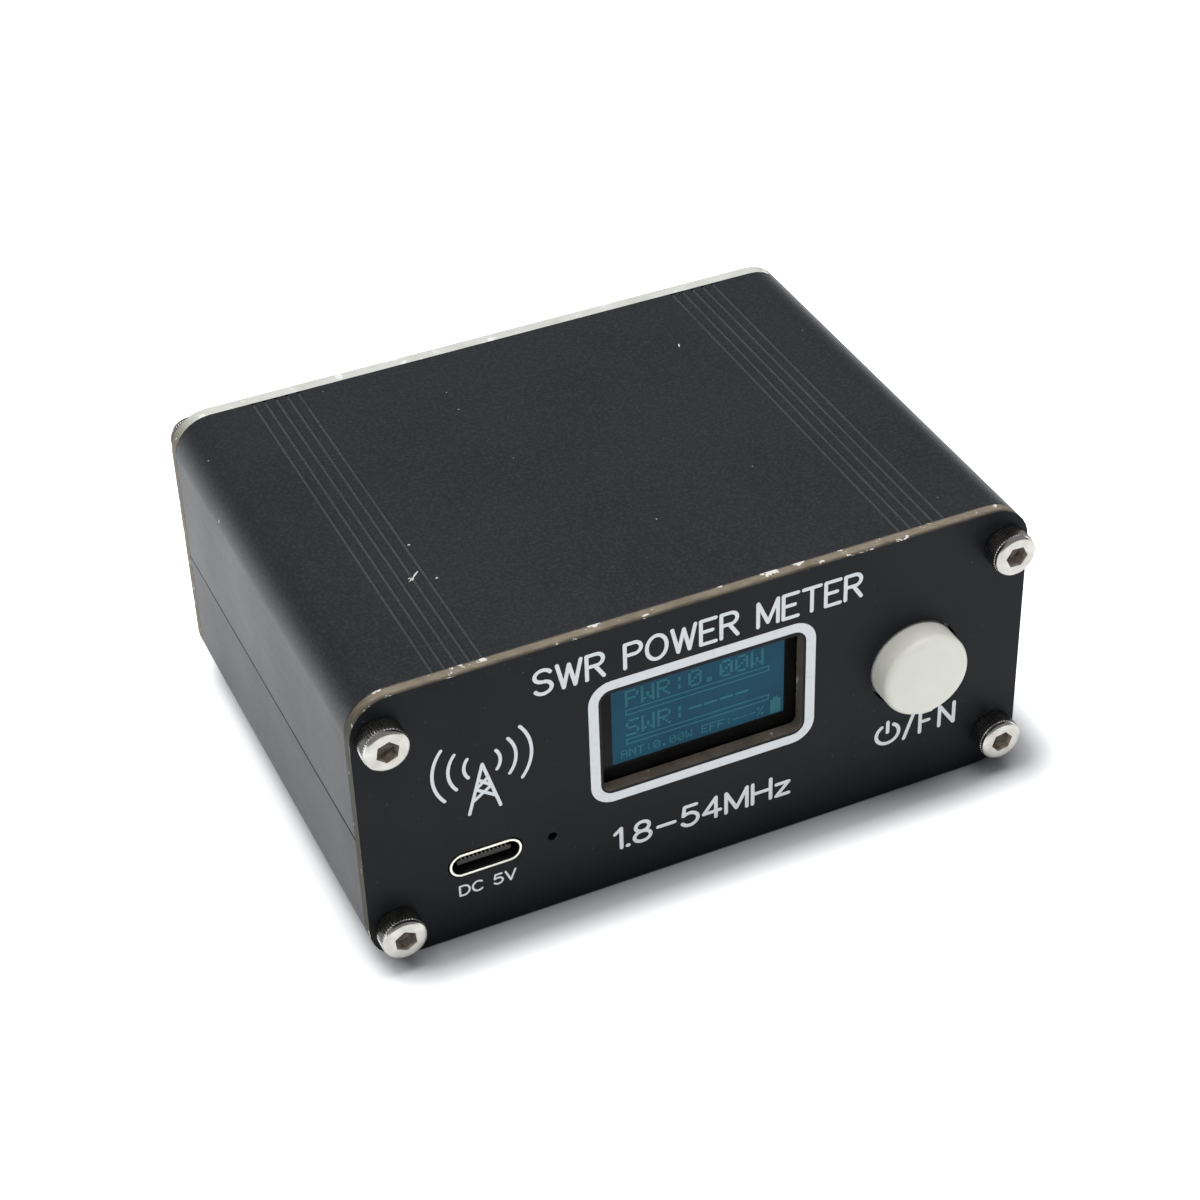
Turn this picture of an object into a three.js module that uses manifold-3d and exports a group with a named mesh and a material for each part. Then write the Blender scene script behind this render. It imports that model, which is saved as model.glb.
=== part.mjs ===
// Pocket SWR and power meter: split aluminium case, two circuit-board end
// panels, a display, one push button, a charging socket and two RF jacks.
// Millimetres. +X right, +Y towards the rear, +Z up. The origin is the centre
// of the case's underside.
import * as THREE from 'three';
import Module from 'manifold-3d';

const wasm = await Module();
wasm.setup();

// ---------------------------------------------------------------- case
const CASE_W = 85.0;
const CASE_H = 38.0;
const CASE_L = 60.0;
const WALL = 2.0;
const CORNER_R = 5.0;
const SEAM_LOW = 18.0;
const SEAM_HIGH = CASE_H - SEAM_LOW;
const SEAM_CHAMFER = 0.2;
const TONGUE_T = 0.9;
const TONGUE_H = 3.0;
const TONGUE_GAP = 0.2;
const BOSS_R = 2.6;
const BOSS_BORE_R = 1.65;
const BOSS_SLOT = 1.2;
const GROOVE_X0 = 26.0;
const GROOVE_PITCH = 1.47;
const GROOVE_COUNT = 5;
const GROOVE_W = 0.5;
const GROOVE_DEPTH = 0.3;
const RIB_REACH = 1.6;
const RIB_T = 1.1;

// ---------------------------------------------------------------- panels
const PANEL_T = 1.6;
const FRONT = -CASE_L / 2 - PANEL_T;
const PANEL_IN = -CASE_L / 2;
const REAR_IN = CASE_L / 2;
const REAR = CASE_L / 2 + PANEL_T;
const SCREW_X = 39.2;
const SCREW_Z = 5.0;
const SCREW_HOLE_R = 1.7;
const WINDOW = { x0: -12.85, x1: 12.85, z0: 14.6, z1: 28.9, r: 1.0 };

// ---------------------------------------------------------------- screws (M3 x 8)
const HEAD_R = 2.75;
const HEAD_H = 3.0;
const HEAD_CHAMFER = 0.3;
const SHANK_R = 1.45;
const SHANK_L = 8.0;
const HEX_AF = 2.5;
const HEX_DEPTH = 1.6;

// ---------------------------------------------------------------- boards
const BOARD_T = 1.6;
const BOARD_TOP = 9.1;
const BOARD_W = 80.4;
const BOARD_L = 59.0;
const BOARD_CLEAR = 0.1;
const WIRE_SLOT = { x: -31.0, y: 7.0, w: 5.0, l: 6.4 };
const FRONT_BOARD = { x0: -16.0, x1: 35.5, y0: -23.6, z0: 9.3, z1: 35.4 };

// ---------------------------------------------------------------- button and switch
const BUTTON_X = 27.9;
const BUTTON_Z = 19.3;
const CAP_R = 5.65;
const CAP_OUT = 3.5;
const CAP_EDGE = 1.0;
const FLANGE_R = 6.7;
const FLANGE = [-29.3, -28.4];
const CAP_HOLE_R = 6.0;
const STEM = 3.8;
const STEM_FRONT = -31.1;
const SWITCH_W = 12.0;
const SWITCH_FRONT = -27.2;
const COVER_T = 0.3;

// ---------------------------------------------------------------- charging socket
const USB_X = -27.85;
const USB_W = 8.94;
const USB_H = 3.26;
const USB_WALL = 0.3;
const USB_Z = BOARD_TOP + USB_H / 2;
const USB_MOUTH = FRONT - 0.1;
const USB_BACK = -24.3;
const PINHOLE = { x: -19.5, z: 10.6, r: 0.6 };

// ---------------------------------------------------------------- RF jacks
const JACK_X = 20.0;
const JACK_Z = 19.0;
const BARREL_R = 7.9;
const BARREL_BORE_R = 6.15;
const BARREL_OUT = 13.0;
const JACK_FLANGE_R = 9.5;
const NUT_AF = 19.0;
const NUT_T = 2.6;
const WASHER_T = 0.8;
const CONTACT_R = 2.3;
const CONTACT_BORE_R = 1.9;
const CONTACT_TAIL = 17.5;

// ---------------------------------------------------------------- coupler
const CORE = { out: 6.35, in: 3.85, half: 2.4, edge: 0.9 };
const WIRE_R = 0.3;
const TURNS = 10;
const MAIN_LINE_R = 0.9;
const MAIN_LINE_Y = CONTACT_TAIL - MAIN_LINE_R;
const SENSE_LINE_Y = 0.5;

// ---------------------------------------------------------------- materials
const material = (name, color, metalness, roughness) => {
  const m = new THREE.MeshStandardMaterial({ color, metalness, roughness });
  m.name = name;
  return m;
};
const ANODISED = material('black_anodised_aluminium', 0x37383b, 0.7, 0.42);
const PANEL = material('black_panel_laminate', 0x27282b, 0.0, 0.45);
const NICKEL = material('nickel_plated_steel', 0xb9b6ae, 1.0, 0.28);
const BRASS = material('nickel_plated_brass', 0xc4c1b8, 1.0, 0.25);
const GOLD = material('gold_plated_contact', 0xc79a45, 1.0, 0.3);
const CAP = material('warm_white_plastic', 0xd6d6cc, 0.0, 0.45);
const BLACK = material('black_moulding', 0x161616, 0.0, 0.55);
const GLASS = material('display_glass', 0x1c3e4d, 0.0, 0.12);
const BOARD = material('green_circuit_board', 0x1f5a34, 0.0, 0.5);
const CHIP = material('black_epoxy', 0x1a1a1c, 0.0, 0.5);
const LAMP = material('lamp_resin', 0xe8e4cf, 0.0, 0.3);
const POUCH = material('silver_pouch_foil', 0xa7aaad, 0.7, 0.4);
const TAPE = material('grey_foam_tape', 0x5d5d5a, 0.0, 0.9);
const RED = material('red_wire_sleeve', 0xa71d1a, 0.0, 0.5);
const WIRE_BLACK = material('black_wire_sleeve', 0x141414, 0.0, 0.5);
const IVORY = material('ivory_moulding', 0xe4dfcd, 0.0, 0.5);
const PTFE = material('white_insulator', 0xe9e7e0, 0.0, 0.5);
const FERRITE = material('grey_ferrite', 0x3b3a3c, 0.0, 0.75);
const ENAMEL = material('enamelled_copper', 0x9a4a22, 0.8, 0.35);
const COPPER = material('tinned_copper', 0xb8a58e, 1.0, 0.35);

// ---------------------------------------------------------------- geometry helpers
// Welds coincident corners and turns the surface so that it faces outwards.
function weld(geometry) {
  const g = geometry.index ? geometry : geometry.clone();
  const p = g.attributes.position;
  const count = g.index ? g.index.count : p.count;
  const seen = new Map();
  const points = [];
  const corner = (i) => {
    const v = [p.getX(i), p.getY(i), p.getZ(i)].map((c) => Math.round(c * 1e5) / 1e5 + 0);
    const key = v.join(',');
    if (!seen.has(key)) {
      seen.set(key, points.length / 3);
      points.push(...v);
    }
    return seen.get(key);
  };
  const faces = [];
  for (let i = 0; i < count; i += 3) {
    const t = [0, 1, 2].map((k) => corner(g.index ? g.index.getX(i + k) : i + k));
    if (t[0] !== t[1] && t[1] !== t[2] && t[2] !== t[0]) faces.push(...t);
  }
  const at = (i) => new THREE.Vector3(points[3 * i], points[3 * i + 1], points[3 * i + 2]);
  let volume = 0;
  for (let i = 0; i < faces.length; i += 3) {
    volume += at(faces[i]).dot(at(faces[i + 1]).cross(at(faces[i + 2])));
  }
  if (volume < 0) {
    for (let i = 0; i < faces.length; i += 3) {
      [faces[i + 1], faces[i + 2]] = [faces[i + 2], faces[i + 1]];
    }
  }
  return { points, faces };
}

function solid(geometry) {
  const { points, faces } = weld(geometry);
  return new wasm.Manifold(new wasm.Mesh({
    numProp: 3,
    vertProperties: new Float32Array(points),
    triVerts: new Uint32Array(faces),
  }));
}

function surface(points, faces) {
  const g = new THREE.BufferGeometry();
  g.setAttribute('position', new THREE.Float32BufferAttribute(points, 3));
  g.setIndex(Array.from(faces));
  g.computeVertexNormals();
  return g;
}

const closed = (geometry) => {
  const { points, faces } = weld(geometry);
  return surface(points, faces);
};

// base joined with every piece of `more`, then every piece of `less` cut away.
function combine(base, more, less) {
  let s = solid(base);
  for (const g of more) s = s.add(solid(g));
  for (const g of less) s = s.subtract(solid(g));
  const m = s.getMesh();
  return surface(Array.from(m.vertProperties), m.triVerts);
}

const box = (x0, x1, y0, y1, z0, z1) =>
  new THREE.BoxGeometry(x1 - x0, y1 - y0, z1 - z0)
    .translate((x0 + x1) / 2, (y0 + y1) / 2, (z0 + z1) / 2);

// A drawing in X and Z, carried along Y from y0 to y1.
const alongY = (shape, y0, y1, curveSegments = 10) =>
  new THREE.ExtrudeGeometry(shape, { depth: y1 - y0, bevelEnabled: false, curveSegments })
    .rotateX(Math.PI / 2).translate(0, y1, 0);

// A drawing in X and Y, carried along Z from z0 to z1.
const alongZ = (shape, z0, z1, curveSegments = 10) =>
  new THREE.ExtrudeGeometry(shape, { depth: z1 - z0, bevelEnabled: false, curveSegments })
    .translate(0, 0, z0);

function polygon(points) {
  const s = new THREE.Shape();
  points.forEach(([x, y], i) => (i ? s.lineTo(x, y) : s.moveTo(x, y)));
  s.closePath();
  return s;
}

function roundedRect(x0, x1, y0, y1, r, s = new THREE.Shape()) {
  s.moveTo(x0 + r, y0);
  s.lineTo(x1 - r, y0);
  s.absarc(x1 - r, y0 + r, r, -Math.PI / 2, 0, false);
  s.lineTo(x1, y1 - r);
  s.absarc(x1 - r, y1 - r, r, 0, Math.PI / 2, false);
  s.lineTo(x0 + r, y1);
  s.absarc(x0 + r, y1 - r, r, Math.PI / 2, Math.PI, false);
  s.lineTo(x0, y0 + r);
  s.absarc(x0 + r, y0 + r, r, Math.PI, 1.5 * Math.PI, false);
  return s;
}

function circle(x, y, r, sides) {
  const points = [];
  for (let i = 0; i < sides; i += 1) {
    const a = ((i + 0.5) / sides) * 2 * Math.PI;
    points.push([x + r * Math.cos(a), y + r * Math.sin(a)]);
  }
  return polygon(points);
}

const hexagon = (x, y, acrossFlats) => circle(x, y, acrossFlats / Math.sqrt(3), 6);

// A profile of [radius, y] pairs turned about the Y axis through (x, z).
const turned = (profile, x, z, sides) =>
  new THREE.LatheGeometry(profile.map(([r, y]) => new THREE.Vector2(r, y)), sides)
    .translate(x, 0, z);

// A round wire through the given points.
function wire(points, radius, steps, sides = 8) {
  const path = new THREE.CatmullRomCurve3(points.map((p) => new THREE.Vector3(...p)));
  return new THREE.ExtrudeGeometry(circle(0, 0, radius, sides), {
    steps, extrudePath: path, bevelEnabled: false,
  });
}

const meter = new THREE.Group();
meter.name = 'swr_meter';

function piece(name, geometry, look) {
  const mesh = new THREE.Mesh(geometry, look);
  mesh.name = name;
  meter.add(mesh);
  return mesh;
}

// ---------------------------------------------------------------- case halves
// Both halves are the same extrusion: the upper one is the lower one turned
// over, so the seam sits a little lower on the left than on the right.
function caseHalf() {
  const w = CASE_W / 2;
  const s = new THREE.Shape();
  s.moveTo(-w, SEAM_LOW - SEAM_CHAMFER);
  s.lineTo(-w, CORNER_R);
  s.absarc(-w + CORNER_R, CORNER_R, CORNER_R, Math.PI, 1.5 * Math.PI, false);
  s.lineTo(w - CORNER_R, 0);
  s.absarc(w - CORNER_R, CORNER_R, CORNER_R, 1.5 * Math.PI, 2 * Math.PI, false);
  s.lineTo(w, SEAM_HIGH - SEAM_CHAMFER);
  s.lineTo(w - SEAM_CHAMFER, SEAM_HIGH);
  s.lineTo(w - TONGUE_T, SEAM_HIGH);
  s.lineTo(w - TONGUE_T, SEAM_HIGH - TONGUE_H - 0.3);
  s.lineTo(w - WALL, SEAM_HIGH - TONGUE_H - 0.3);
  s.lineTo(w - WALL, CORNER_R);
  s.absarc(w - CORNER_R, CORNER_R, CORNER_R - WALL, 0, -Math.PI / 2, true);
  s.lineTo(-w + CORNER_R, WALL);
  s.absarc(-w + CORNER_R, CORNER_R, CORNER_R - WALL, -Math.PI / 2, -Math.PI, true);
  s.lineTo(-w + WALL, SEAM_LOW + TONGUE_H);
  s.lineTo(-w + TONGUE_T + TONGUE_GAP, SEAM_LOW + TONGUE_H);
  s.lineTo(-w + TONGUE_T + TONGUE_GAP, SEAM_LOW);
  s.lineTo(-w + SEAM_CHAMFER, SEAM_LOW);
  s.closePath();

  const y0 = -CASE_L / 2;
  const y1 = CASE_L / 2;
  const more = [];
  const less = [];
  const slotLow = BOARD_TOP - BOARD_T - BOARD_CLEAR;
  const slotHigh = BOARD_TOP + BOARD_CLEAR;
  for (const side of [-1, 1]) {
    const span = (a, b) => [Math.min(side * a, side * b), Math.max(side * a, side * b)];
    more.push(alongY(circle(side * SCREW_X, SCREW_Z, BOSS_R, 28), y0, y1));
    more.push(box(...span(38.0, 41.0), y0, y1, 1.5, SCREW_Z));
    more.push(box(...span(w - WALL - RIB_REACH, w - 1), y0, y1, slotHigh, slotHigh + RIB_T));
    more.push(box(...span(w - WALL - RIB_REACH, w - 1), y0, y1, SCREW_Z, slotLow));
    less.push(box(...span(SCREW_X - 4, w - WALL), y0 - 1, y1 + 1, slotLow, slotHigh));
    less.push(alongY(circle(side * SCREW_X, SCREW_Z, BOSS_BORE_R, 24), y0 - 1, y1 + 1));
    less.push(box(...span(SCREW_X - 4, SCREW_X), y0 - 1, y1 + 1,
      SCREW_Z - BOSS_SLOT / 2, SCREW_Z + BOSS_SLOT / 2));
    for (let i = 0; i < GROOVE_COUNT; i += 1) {
      const x = side * (GROOVE_X0 + i * GROOVE_PITCH);
      less.push(alongY(polygon([
        [x - GROOVE_W / 2, 0], [x - GROOVE_W / 2, -0.5], [x + GROOVE_W / 2, -0.5],
        [x + GROOVE_W / 2, 0], [x, GROOVE_DEPTH],
      ]), y0 - 1, y1 + 1));
    }
  }
  return combine(alongY(s, y0, y1, 5), more, less);
}

piece('case_lower', caseHalf(), ANODISED);
piece('case_upper', caseHalf().rotateY(Math.PI).translate(0, 0, CASE_H), ANODISED);

// ---------------------------------------------------------------- end panels
const screwPlaces = [];
for (const z of [CASE_H - SCREW_Z, SCREW_Z]) {
  for (const x of [-SCREW_X, SCREW_X]) screwPlaces.push([x, z]);
}

function panel(holes) {
  const s = roundedRect(-CASE_W / 2, CASE_W / 2, 0, CASE_H, CORNER_R);
  for (const [x, z] of screwPlaces) s.holes.push(circle(x, z, SCREW_HOLE_R, 24));
  s.holes.push(...holes);
  return s;
}

const frontShape = panel([
  roundedRect(WINDOW.x0, WINDOW.x1, WINDOW.z0, WINDOW.z1, WINDOW.r, new THREE.Path()),
  roundedRect(USB_X - USB_W / 2 - 0.2, USB_X + USB_W / 2 + 0.2,
    USB_Z - USB_H / 2 - 0.2, USB_Z + USB_H / 2 + 0.2, 1.8, new THREE.Path()),
  circle(PINHOLE.x, PINHOLE.z, PINHOLE.r, 16),
  circle(BUTTON_X, BUTTON_Z, CAP_HOLE_R, 48),
]);
piece('front_panel', closed(alongY(frontShape, FRONT, PANEL_IN, 4)), PANEL);

const rearShape = panel([-1, 1].map((side) =>
  circle(side * JACK_X, JACK_Z, BARREL_R + 0.2, 40)));
piece('rear_panel', closed(alongY(rearShape, REAR_IN, REAR, 4)), PANEL);

// ---------------------------------------------------------------- panel screws
function capScrew() {
  const body = turned([
    [0, -HEAD_H], [HEAD_R - HEAD_CHAMFER, -HEAD_H], [HEAD_R, -HEAD_H + HEAD_CHAMFER],
    [HEAD_R, 0], [SHANK_R, 0], [SHANK_R, SHANK_L - 0.3], [SHANK_R - 0.3, SHANK_L],
    [0, SHANK_L],
  ], 0, 0, 28);
  const socket = alongY(hexagon(0, 0, HEX_AF), -HEAD_H - 1, -HEAD_H + HEX_DEPTH);
  return combine(body, [], [socket]);
}

screwPlaces.forEach(([x, z], i) => {
  piece(`front_screw_${i + 1}`, capScrew().translate(x, FRONT, z), NICKEL);
});
screwPlaces.forEach(([x, z], i) => {
  piece(`rear_screw_${i + 1}`, capScrew().rotateZ(Math.PI).translate(x, REAR, z), NICKEL);
});

// ---------------------------------------------------------------- button and its switch
function roundedEdge(r, y, edge, steps) {
  const points = [];
  for (let i = 0; i <= steps; i += 1) {
    const a = (i / steps) * (Math.PI / 2);
    points.push([r - edge + edge * Math.sin(a), y + edge - edge * Math.cos(a)]);
  }
  return points;
}

const capBody = turned([
  [0, FRONT - CAP_OUT], ...roundedEdge(CAP_R, FRONT - CAP_OUT, CAP_EDGE, 5),
  [CAP_R, FLANGE[0]], [FLANGE_R, FLANGE[0]], [FLANGE_R, FLANGE[1]], [0, FLANGE[1]],
], BUTTON_X, BUTTON_Z, 48);
const atStem = (half, y0, y1) =>
  box(BUTTON_X - half, BUTTON_X + half, y0, y1, BUTTON_Z - half, BUTTON_Z + half);
piece('button_cap', combine(capBody, [],
  [atStem(STEM / 2 + 0.05, STEM_FRONT - 0.2, FLANGE[1] + 1)]), CAP);

const stemDisc = turned([[0, -27.0], [3.2, -27.0], [3.2, -26.2], [0, -26.2]],
  BUTTON_X, BUTTON_Z, 32);
piece('switch_plunger', combine(stemDisc, [atStem(STEM / 2, STEM_FRONT, -26.6)], []), BLACK);

const half = SWITCH_W / 2;
const switchOutline = () => roundedRect(BUTTON_X - half, BUTTON_X + half,
  BUTTON_Z - half, BUTTON_Z + half, 0.6);
const coverShape = switchOutline();
coverShape.holes.push(circle(BUTTON_X, BUTTON_Z, 2.95, 32));
piece('switch_cover', closed(alongY(coverShape, SWITCH_FRONT - COVER_T, SWITCH_FRONT, 3)), NICKEL);
piece('switch_body', combine(alongY(switchOutline(), SWITCH_FRONT, FRONT_BOARD.y0, 3), [],
  [turned([[0, -28], [3.5, -28], [3.5, -24.6], [0, -24.6]], BUTTON_X, BUTTON_Z, 32)]), BLACK);

const domeSide = (lift, rim, r) => {
  const points = [];
  for (let i = 0; i <= 4; i += 1) {
    const t = i / 4;
    points.push([r * t, rim - lift * (1 - t * t)]);
  }
  return points;
};
piece('switch_dome', closed(turned([
  ...domeSide(1.0, -24.72, 3.3), ...domeSide(1.0, -24.62, 3.3).reverse(),
], BUTTON_X, BUTTON_Z, 28)), NICKEL);

// ---------------------------------------------------------------- display and front board
piece('display_glass', closed(box(-13.35, 13.35, -29.8, -28.4, 10.4, 29.7)), GLASS);
piece('display_board', closed(box(-13.7, 13.7, -28.4, -27.2, 9.5, 35.3)), BOARD);
piece('display_header', closed(box(-5.1, 5.1, -27.2, FRONT_BOARD.y0, 32.2, 34.7)), BLACK);
piece('front_board', closed(box(FRONT_BOARD.x0, FRONT_BOARD.x1, FRONT_BOARD.y0,
  FRONT_BOARD.y0 + BOARD_T, FRONT_BOARD.z0, FRONT_BOARD.z1)), BOARD);
piece('board_header', closed(box(-5.2, 15.1, FRONT_BOARD.y0 + BOARD_T,
  FRONT_BOARD.y0 + BOARD_T + 2.5, BOARD_TOP, BOARD_TOP + 2.5)), BLACK);

// ---------------------------------------------------------------- main board and its parts
const boardShape = roundedRect(-BOARD_W / 2, BOARD_W / 2, -BOARD_L / 2, BOARD_L / 2, 0.8);
boardShape.holes.push(roundedRect(
  WIRE_SLOT.x - WIRE_SLOT.w / 2, WIRE_SLOT.x + WIRE_SLOT.w / 2,
  WIRE_SLOT.y - WIRE_SLOT.l / 2, WIRE_SLOT.y + WIRE_SLOT.l / 2, 1.0, new THREE.Path()));
piece('main_board', closed(alongZ(boardShape, BOARD_TOP - BOARD_T, BOARD_TOP, 4)), BOARD);

const onBoard = (x, y, w, l, h) =>
  box(x - w / 2, x + w / 2, y - l / 2, y + l / 2, BOARD_TOP, BOARD_TOP + h);
piece('charge_led', closed(onBoard(PINHOLE.x, -28.6, 3.0, 1.2, 2.0)), LAMP);
piece('mcu_chip', closed(onBoard(-16.0, -12.0, 7.0, 7.0, 1.4)), CHIP);
piece('charger_chip', closed(onBoard(-30.0, -16.5, 4.9, 3.9, 1.5)), CHIP);
piece('boost_inductor', closed(alongZ(
  roundedRect(-33.0, -27.0, -10.0, -4.0, 1.2), BOARD_TOP, BOARD_TOP + 3.0, 4)), FERRITE);
piece('load_resistor_1', closed(onBoard(-21.0, 3.0, 3.2, 6.4, 0.8)), CHIP);
piece('load_resistor_2', closed(onBoard(21.0, 3.0, 3.2, 6.4, 0.8)), CHIP);
piece('forward_diode', closed(onBoard(-12.0, -3.5, 1.7, 2.8, 1.2)), CHIP);
piece('reflected_diode', closed(onBoard(12.0, -3.5, 1.7, 2.8, 1.2)), CHIP);

// ---------------------------------------------------------------- charging socket
const usbOuter = roundedRect(USB_X - USB_W / 2, USB_X + USB_W / 2,
  USB_Z - USB_H / 2, USB_Z + USB_H / 2, USB_H / 2 - 0.02);
const usbInner = roundedRect(USB_X - USB_W / 2 + USB_WALL, USB_X + USB_W / 2 - USB_WALL,
  USB_Z - USB_H / 2 + USB_WALL, USB_Z + USB_H / 2 - USB_WALL, USB_H / 2 - USB_WALL - 0.02);
piece('usb_shell', combine(alongY(usbOuter, USB_MOUTH, USB_BACK, 8), [],
  [alongY(usbInner, USB_MOUTH - 1, USB_BACK - 0.6, 8)]), NICKEL);
piece('usb_tongue', closed(box(USB_X - 3.35, USB_X + 3.35, USB_MOUTH + 0.6, USB_BACK - 0.6,
  USB_Z - 0.35, USB_Z + 0.35)), BLACK);

// ---------------------------------------------------------------- battery and its lead
piece('battery_tape', closed(box(-20, 20, -10, 14, WALL, WALL + 0.4)), TAPE);
piece('battery', closed(alongY(
  roundedRect(-25, 25, WALL + 0.4, BOARD_TOP - BOARD_T - 0.3, 1.6), -15, 19, 4)), POUCH);
piece('battery_lead_red', closed(wire([
  [-25.1, 5.0, 4.6], [-28.0, 5.0, 4.6], [-30.2, 5.2, 5.8], [-30.4, 5.4, 8.3],
  [-30.6, 7.0, 11.0], [-31.0, 10.0, 11.7], [-31.0, 13.1, 11.7],
], 0.55, 30)), RED);
piece('battery_lead_black', closed(wire([
  [-25.1, 7.5, 4.6], [-28.0, 7.5, 4.6], [-31.2, 8.2, 5.6], [-32.2, 8.4, 8.3],
  [-32.8, 9.6, 11.0], [-33.0, 11.2, 11.7], [-33.0, 13.1, 11.7],
], 0.55, 30)), WIRE_BLACK);
piece('battery_plug', closed(box(-35.0, -29.0, 13.2, 20.0, 10.0, 13.4)), IVORY);
piece('battery_socket', combine(box(-36.0, -28.0, 15.0, 22.0, BOARD_TOP, 14.3), [],
  [box(-35.2, -28.8, 14.0, 20.4, 9.8, 13.6)]), IVORY);

// ---------------------------------------------------------------- RF jacks
function jack(prefix, x) {
  const tip = REAR + BARREL_OUT;
  const outlet = 24.0;
  piece(`${prefix}_body`, closed(turned([
    [BARREL_BORE_R, outlet], [7.0, outlet], [7.0, REAR_IN - 2.0],
    [JACK_FLANGE_R, REAR_IN - 2.0], [JACK_FLANGE_R, REAR_IN], [BARREL_R, REAR_IN],
    [BARREL_R, tip - 0.5], [BARREL_R - 0.5, tip], [BARREL_BORE_R, tip],
    [BARREL_BORE_R, outlet],
  ], x, JACK_Z, 40)), BRASS);
  const bore = CONTACT_R + 0.05;
  const edge = BARREL_BORE_R - 0.05;
  piece(`${prefix}_insulator`, closed(turned([
    [bore, outlet + 0.5], [edge, outlet + 0.5], [edge, tip - 5.0], [3.6, tip - 5.0],
    [3.6, tip - 3.2], [bore, tip - 3.2], [bore, outlet + 0.5],
  ], x, JACK_Z, 40)), PTFE);
  piece(`${prefix}_contact`, closed(turned([
    [0, CONTACT_TAIL], [1.4, CONTACT_TAIL], [1.4, outlet], [CONTACT_R, outlet],
    [CONTACT_R, tip - 3.0], [CONTACT_BORE_R, tip - 3.0], [CONTACT_BORE_R, tip - 14.0],
    [0, tip - 14.0],
  ], x, JACK_Z, 24)), GOLD);
  const washer = circle(x, JACK_Z, JACK_FLANGE_R, 40);
  washer.holes.push(circle(x, JACK_Z, BARREL_R + 0.1, 40));
  piece(`${prefix}_washer`, closed(alongY(washer, REAR, REAR + WASHER_T)), NICKEL);
  const nut = hexagon(x, JACK_Z, NUT_AF);
  nut.holes.push(circle(x, JACK_Z, BARREL_R + 0.1, 40));
  piece(`${prefix}_nut`, closed(alongY(nut, REAR + WASHER_T, REAR + WASHER_T + NUT_T)), BRASS);
}

jack('radio_jack', -JACK_X);
jack('antenna_jack', JACK_X);

// ---------------------------------------------------------------- directional coupler
function core(y) {
  const { out, in: inner, half: h, edge: e } = CORE;
  const corner = (r, x, a0) => [0, 1, 2].map((i) => {
    const a = a0 + (i / 2) * (Math.PI / 2);
    return [r + e * Math.cos(a), x + e * Math.sin(a)];
  });
  const ring = [
    ...corner(out - e, -h + e, -Math.PI / 2), ...corner(out - e, h - e, 0),
    ...corner(inner + e, h - e, Math.PI / 2), ...corner(inner + e, -h + e, Math.PI),
  ];
  return turned([...ring, ring[0]], 0, 0, 32).rotateZ(-Math.PI / 2).translate(0, y, JACK_Z);
}

// A wire wound round the core, with both ends led down to the main board.
function winding(y) {
  const off = WIRE_R + 0.15;
  const r0 = CORE.in - off;
  const r1 = CORE.out + off;
  const h = CORE.half + off;
  const loop = [[r1, 0.5 * h], [r1 - 0.35, h - 0.35], [r1 - 1.2, h], [r0 + 1.2, h],
    [r0 + 0.35, h - 0.35], [r0, 0.5 * h], [r0, -0.5 * h], [r0 + 0.35, 0.35 - h],
    [r0 + 1.2, -h], [r1 - 1.2, -h], [r1 - 0.35, 0.35 - h], [r1, -0.5 * h]];
  const start = (-60 * Math.PI) / 180;
  const sweep = (300 * Math.PI) / 180;
  const points = [];
  const total = TURNS * loop.length;
  for (let i = 0; i < total; i += 1) {
    const [r, x] = loop[i % loop.length];
    const a = start + (sweep * i) / (total - 1);
    points.push([x, y + r * Math.cos(a), JACK_Z + r * Math.sin(a)]);
  }
  const lead = (p, dx) => [[p[0] + dx, p[1], BOARD_TOP + 0.06], [p[0] + dx * 0.5, p[1], 11.0]];
  const first = lead(points[0], 0.8);
  const last = lead(points[total - 1], -0.8).reverse();
  return wire([...first, ...points, ...last], WIRE_R, Math.round(total * 1.05), 5);
}

piece('current_core', closed(core(MAIN_LINE_Y)), FERRITE);
piece('current_winding', closed(winding(MAIN_LINE_Y)), ENAMEL);
piece('voltage_core', closed(core(SENSE_LINE_Y)), FERRITE);
piece('voltage_winding', closed(winding(SENSE_LINE_Y)), ENAMEL);
piece('main_line', closed(turned([
  [0, -JACK_X], [MAIN_LINE_R, -JACK_X], [MAIN_LINE_R, JACK_X], [0, JACK_X],
], 0, 0, 16).rotateZ(-Math.PI / 2).translate(0, MAIN_LINE_Y, JACK_Z)), COPPER);
const drop = 15.0;
piece('sense_line', closed(wire([
  [-drop, SENSE_LINE_Y, BOARD_TOP + 0.02], [-drop, SENSE_LINE_Y, 12.0],
  [-drop, SENSE_LINE_Y, 16.4], [-drop + 0.7, SENSE_LINE_Y, 18.3],
  [-drop + 2.6, SENSE_LINE_Y, JACK_Z], [-6, SENSE_LINE_Y, JACK_Z], [0, SENSE_LINE_Y, JACK_Z],
  [6, SENSE_LINE_Y, JACK_Z], [drop - 2.6, SENSE_LINE_Y, JACK_Z],
  [drop - 0.7, SENSE_LINE_Y, 18.3], [drop, SENSE_LINE_Y, 16.4], [drop, SENSE_LINE_Y, 12.0],
  [drop, SENSE_LINE_Y, BOARD_TOP + 0.02],
], 0.6, 40)), COPPER);

export default meter;
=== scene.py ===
# A pocket SWR and power meter for amateur radio, built up in the order in
# which it goes together. Sizes are in metres; +X right, +Y rear, +Z up.
from math import atan2, copysign, cos, hypot, pi, radians, sin, sqrt, tau

import bmesh
import bpy
from mathutils import Matrix, Vector


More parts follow.
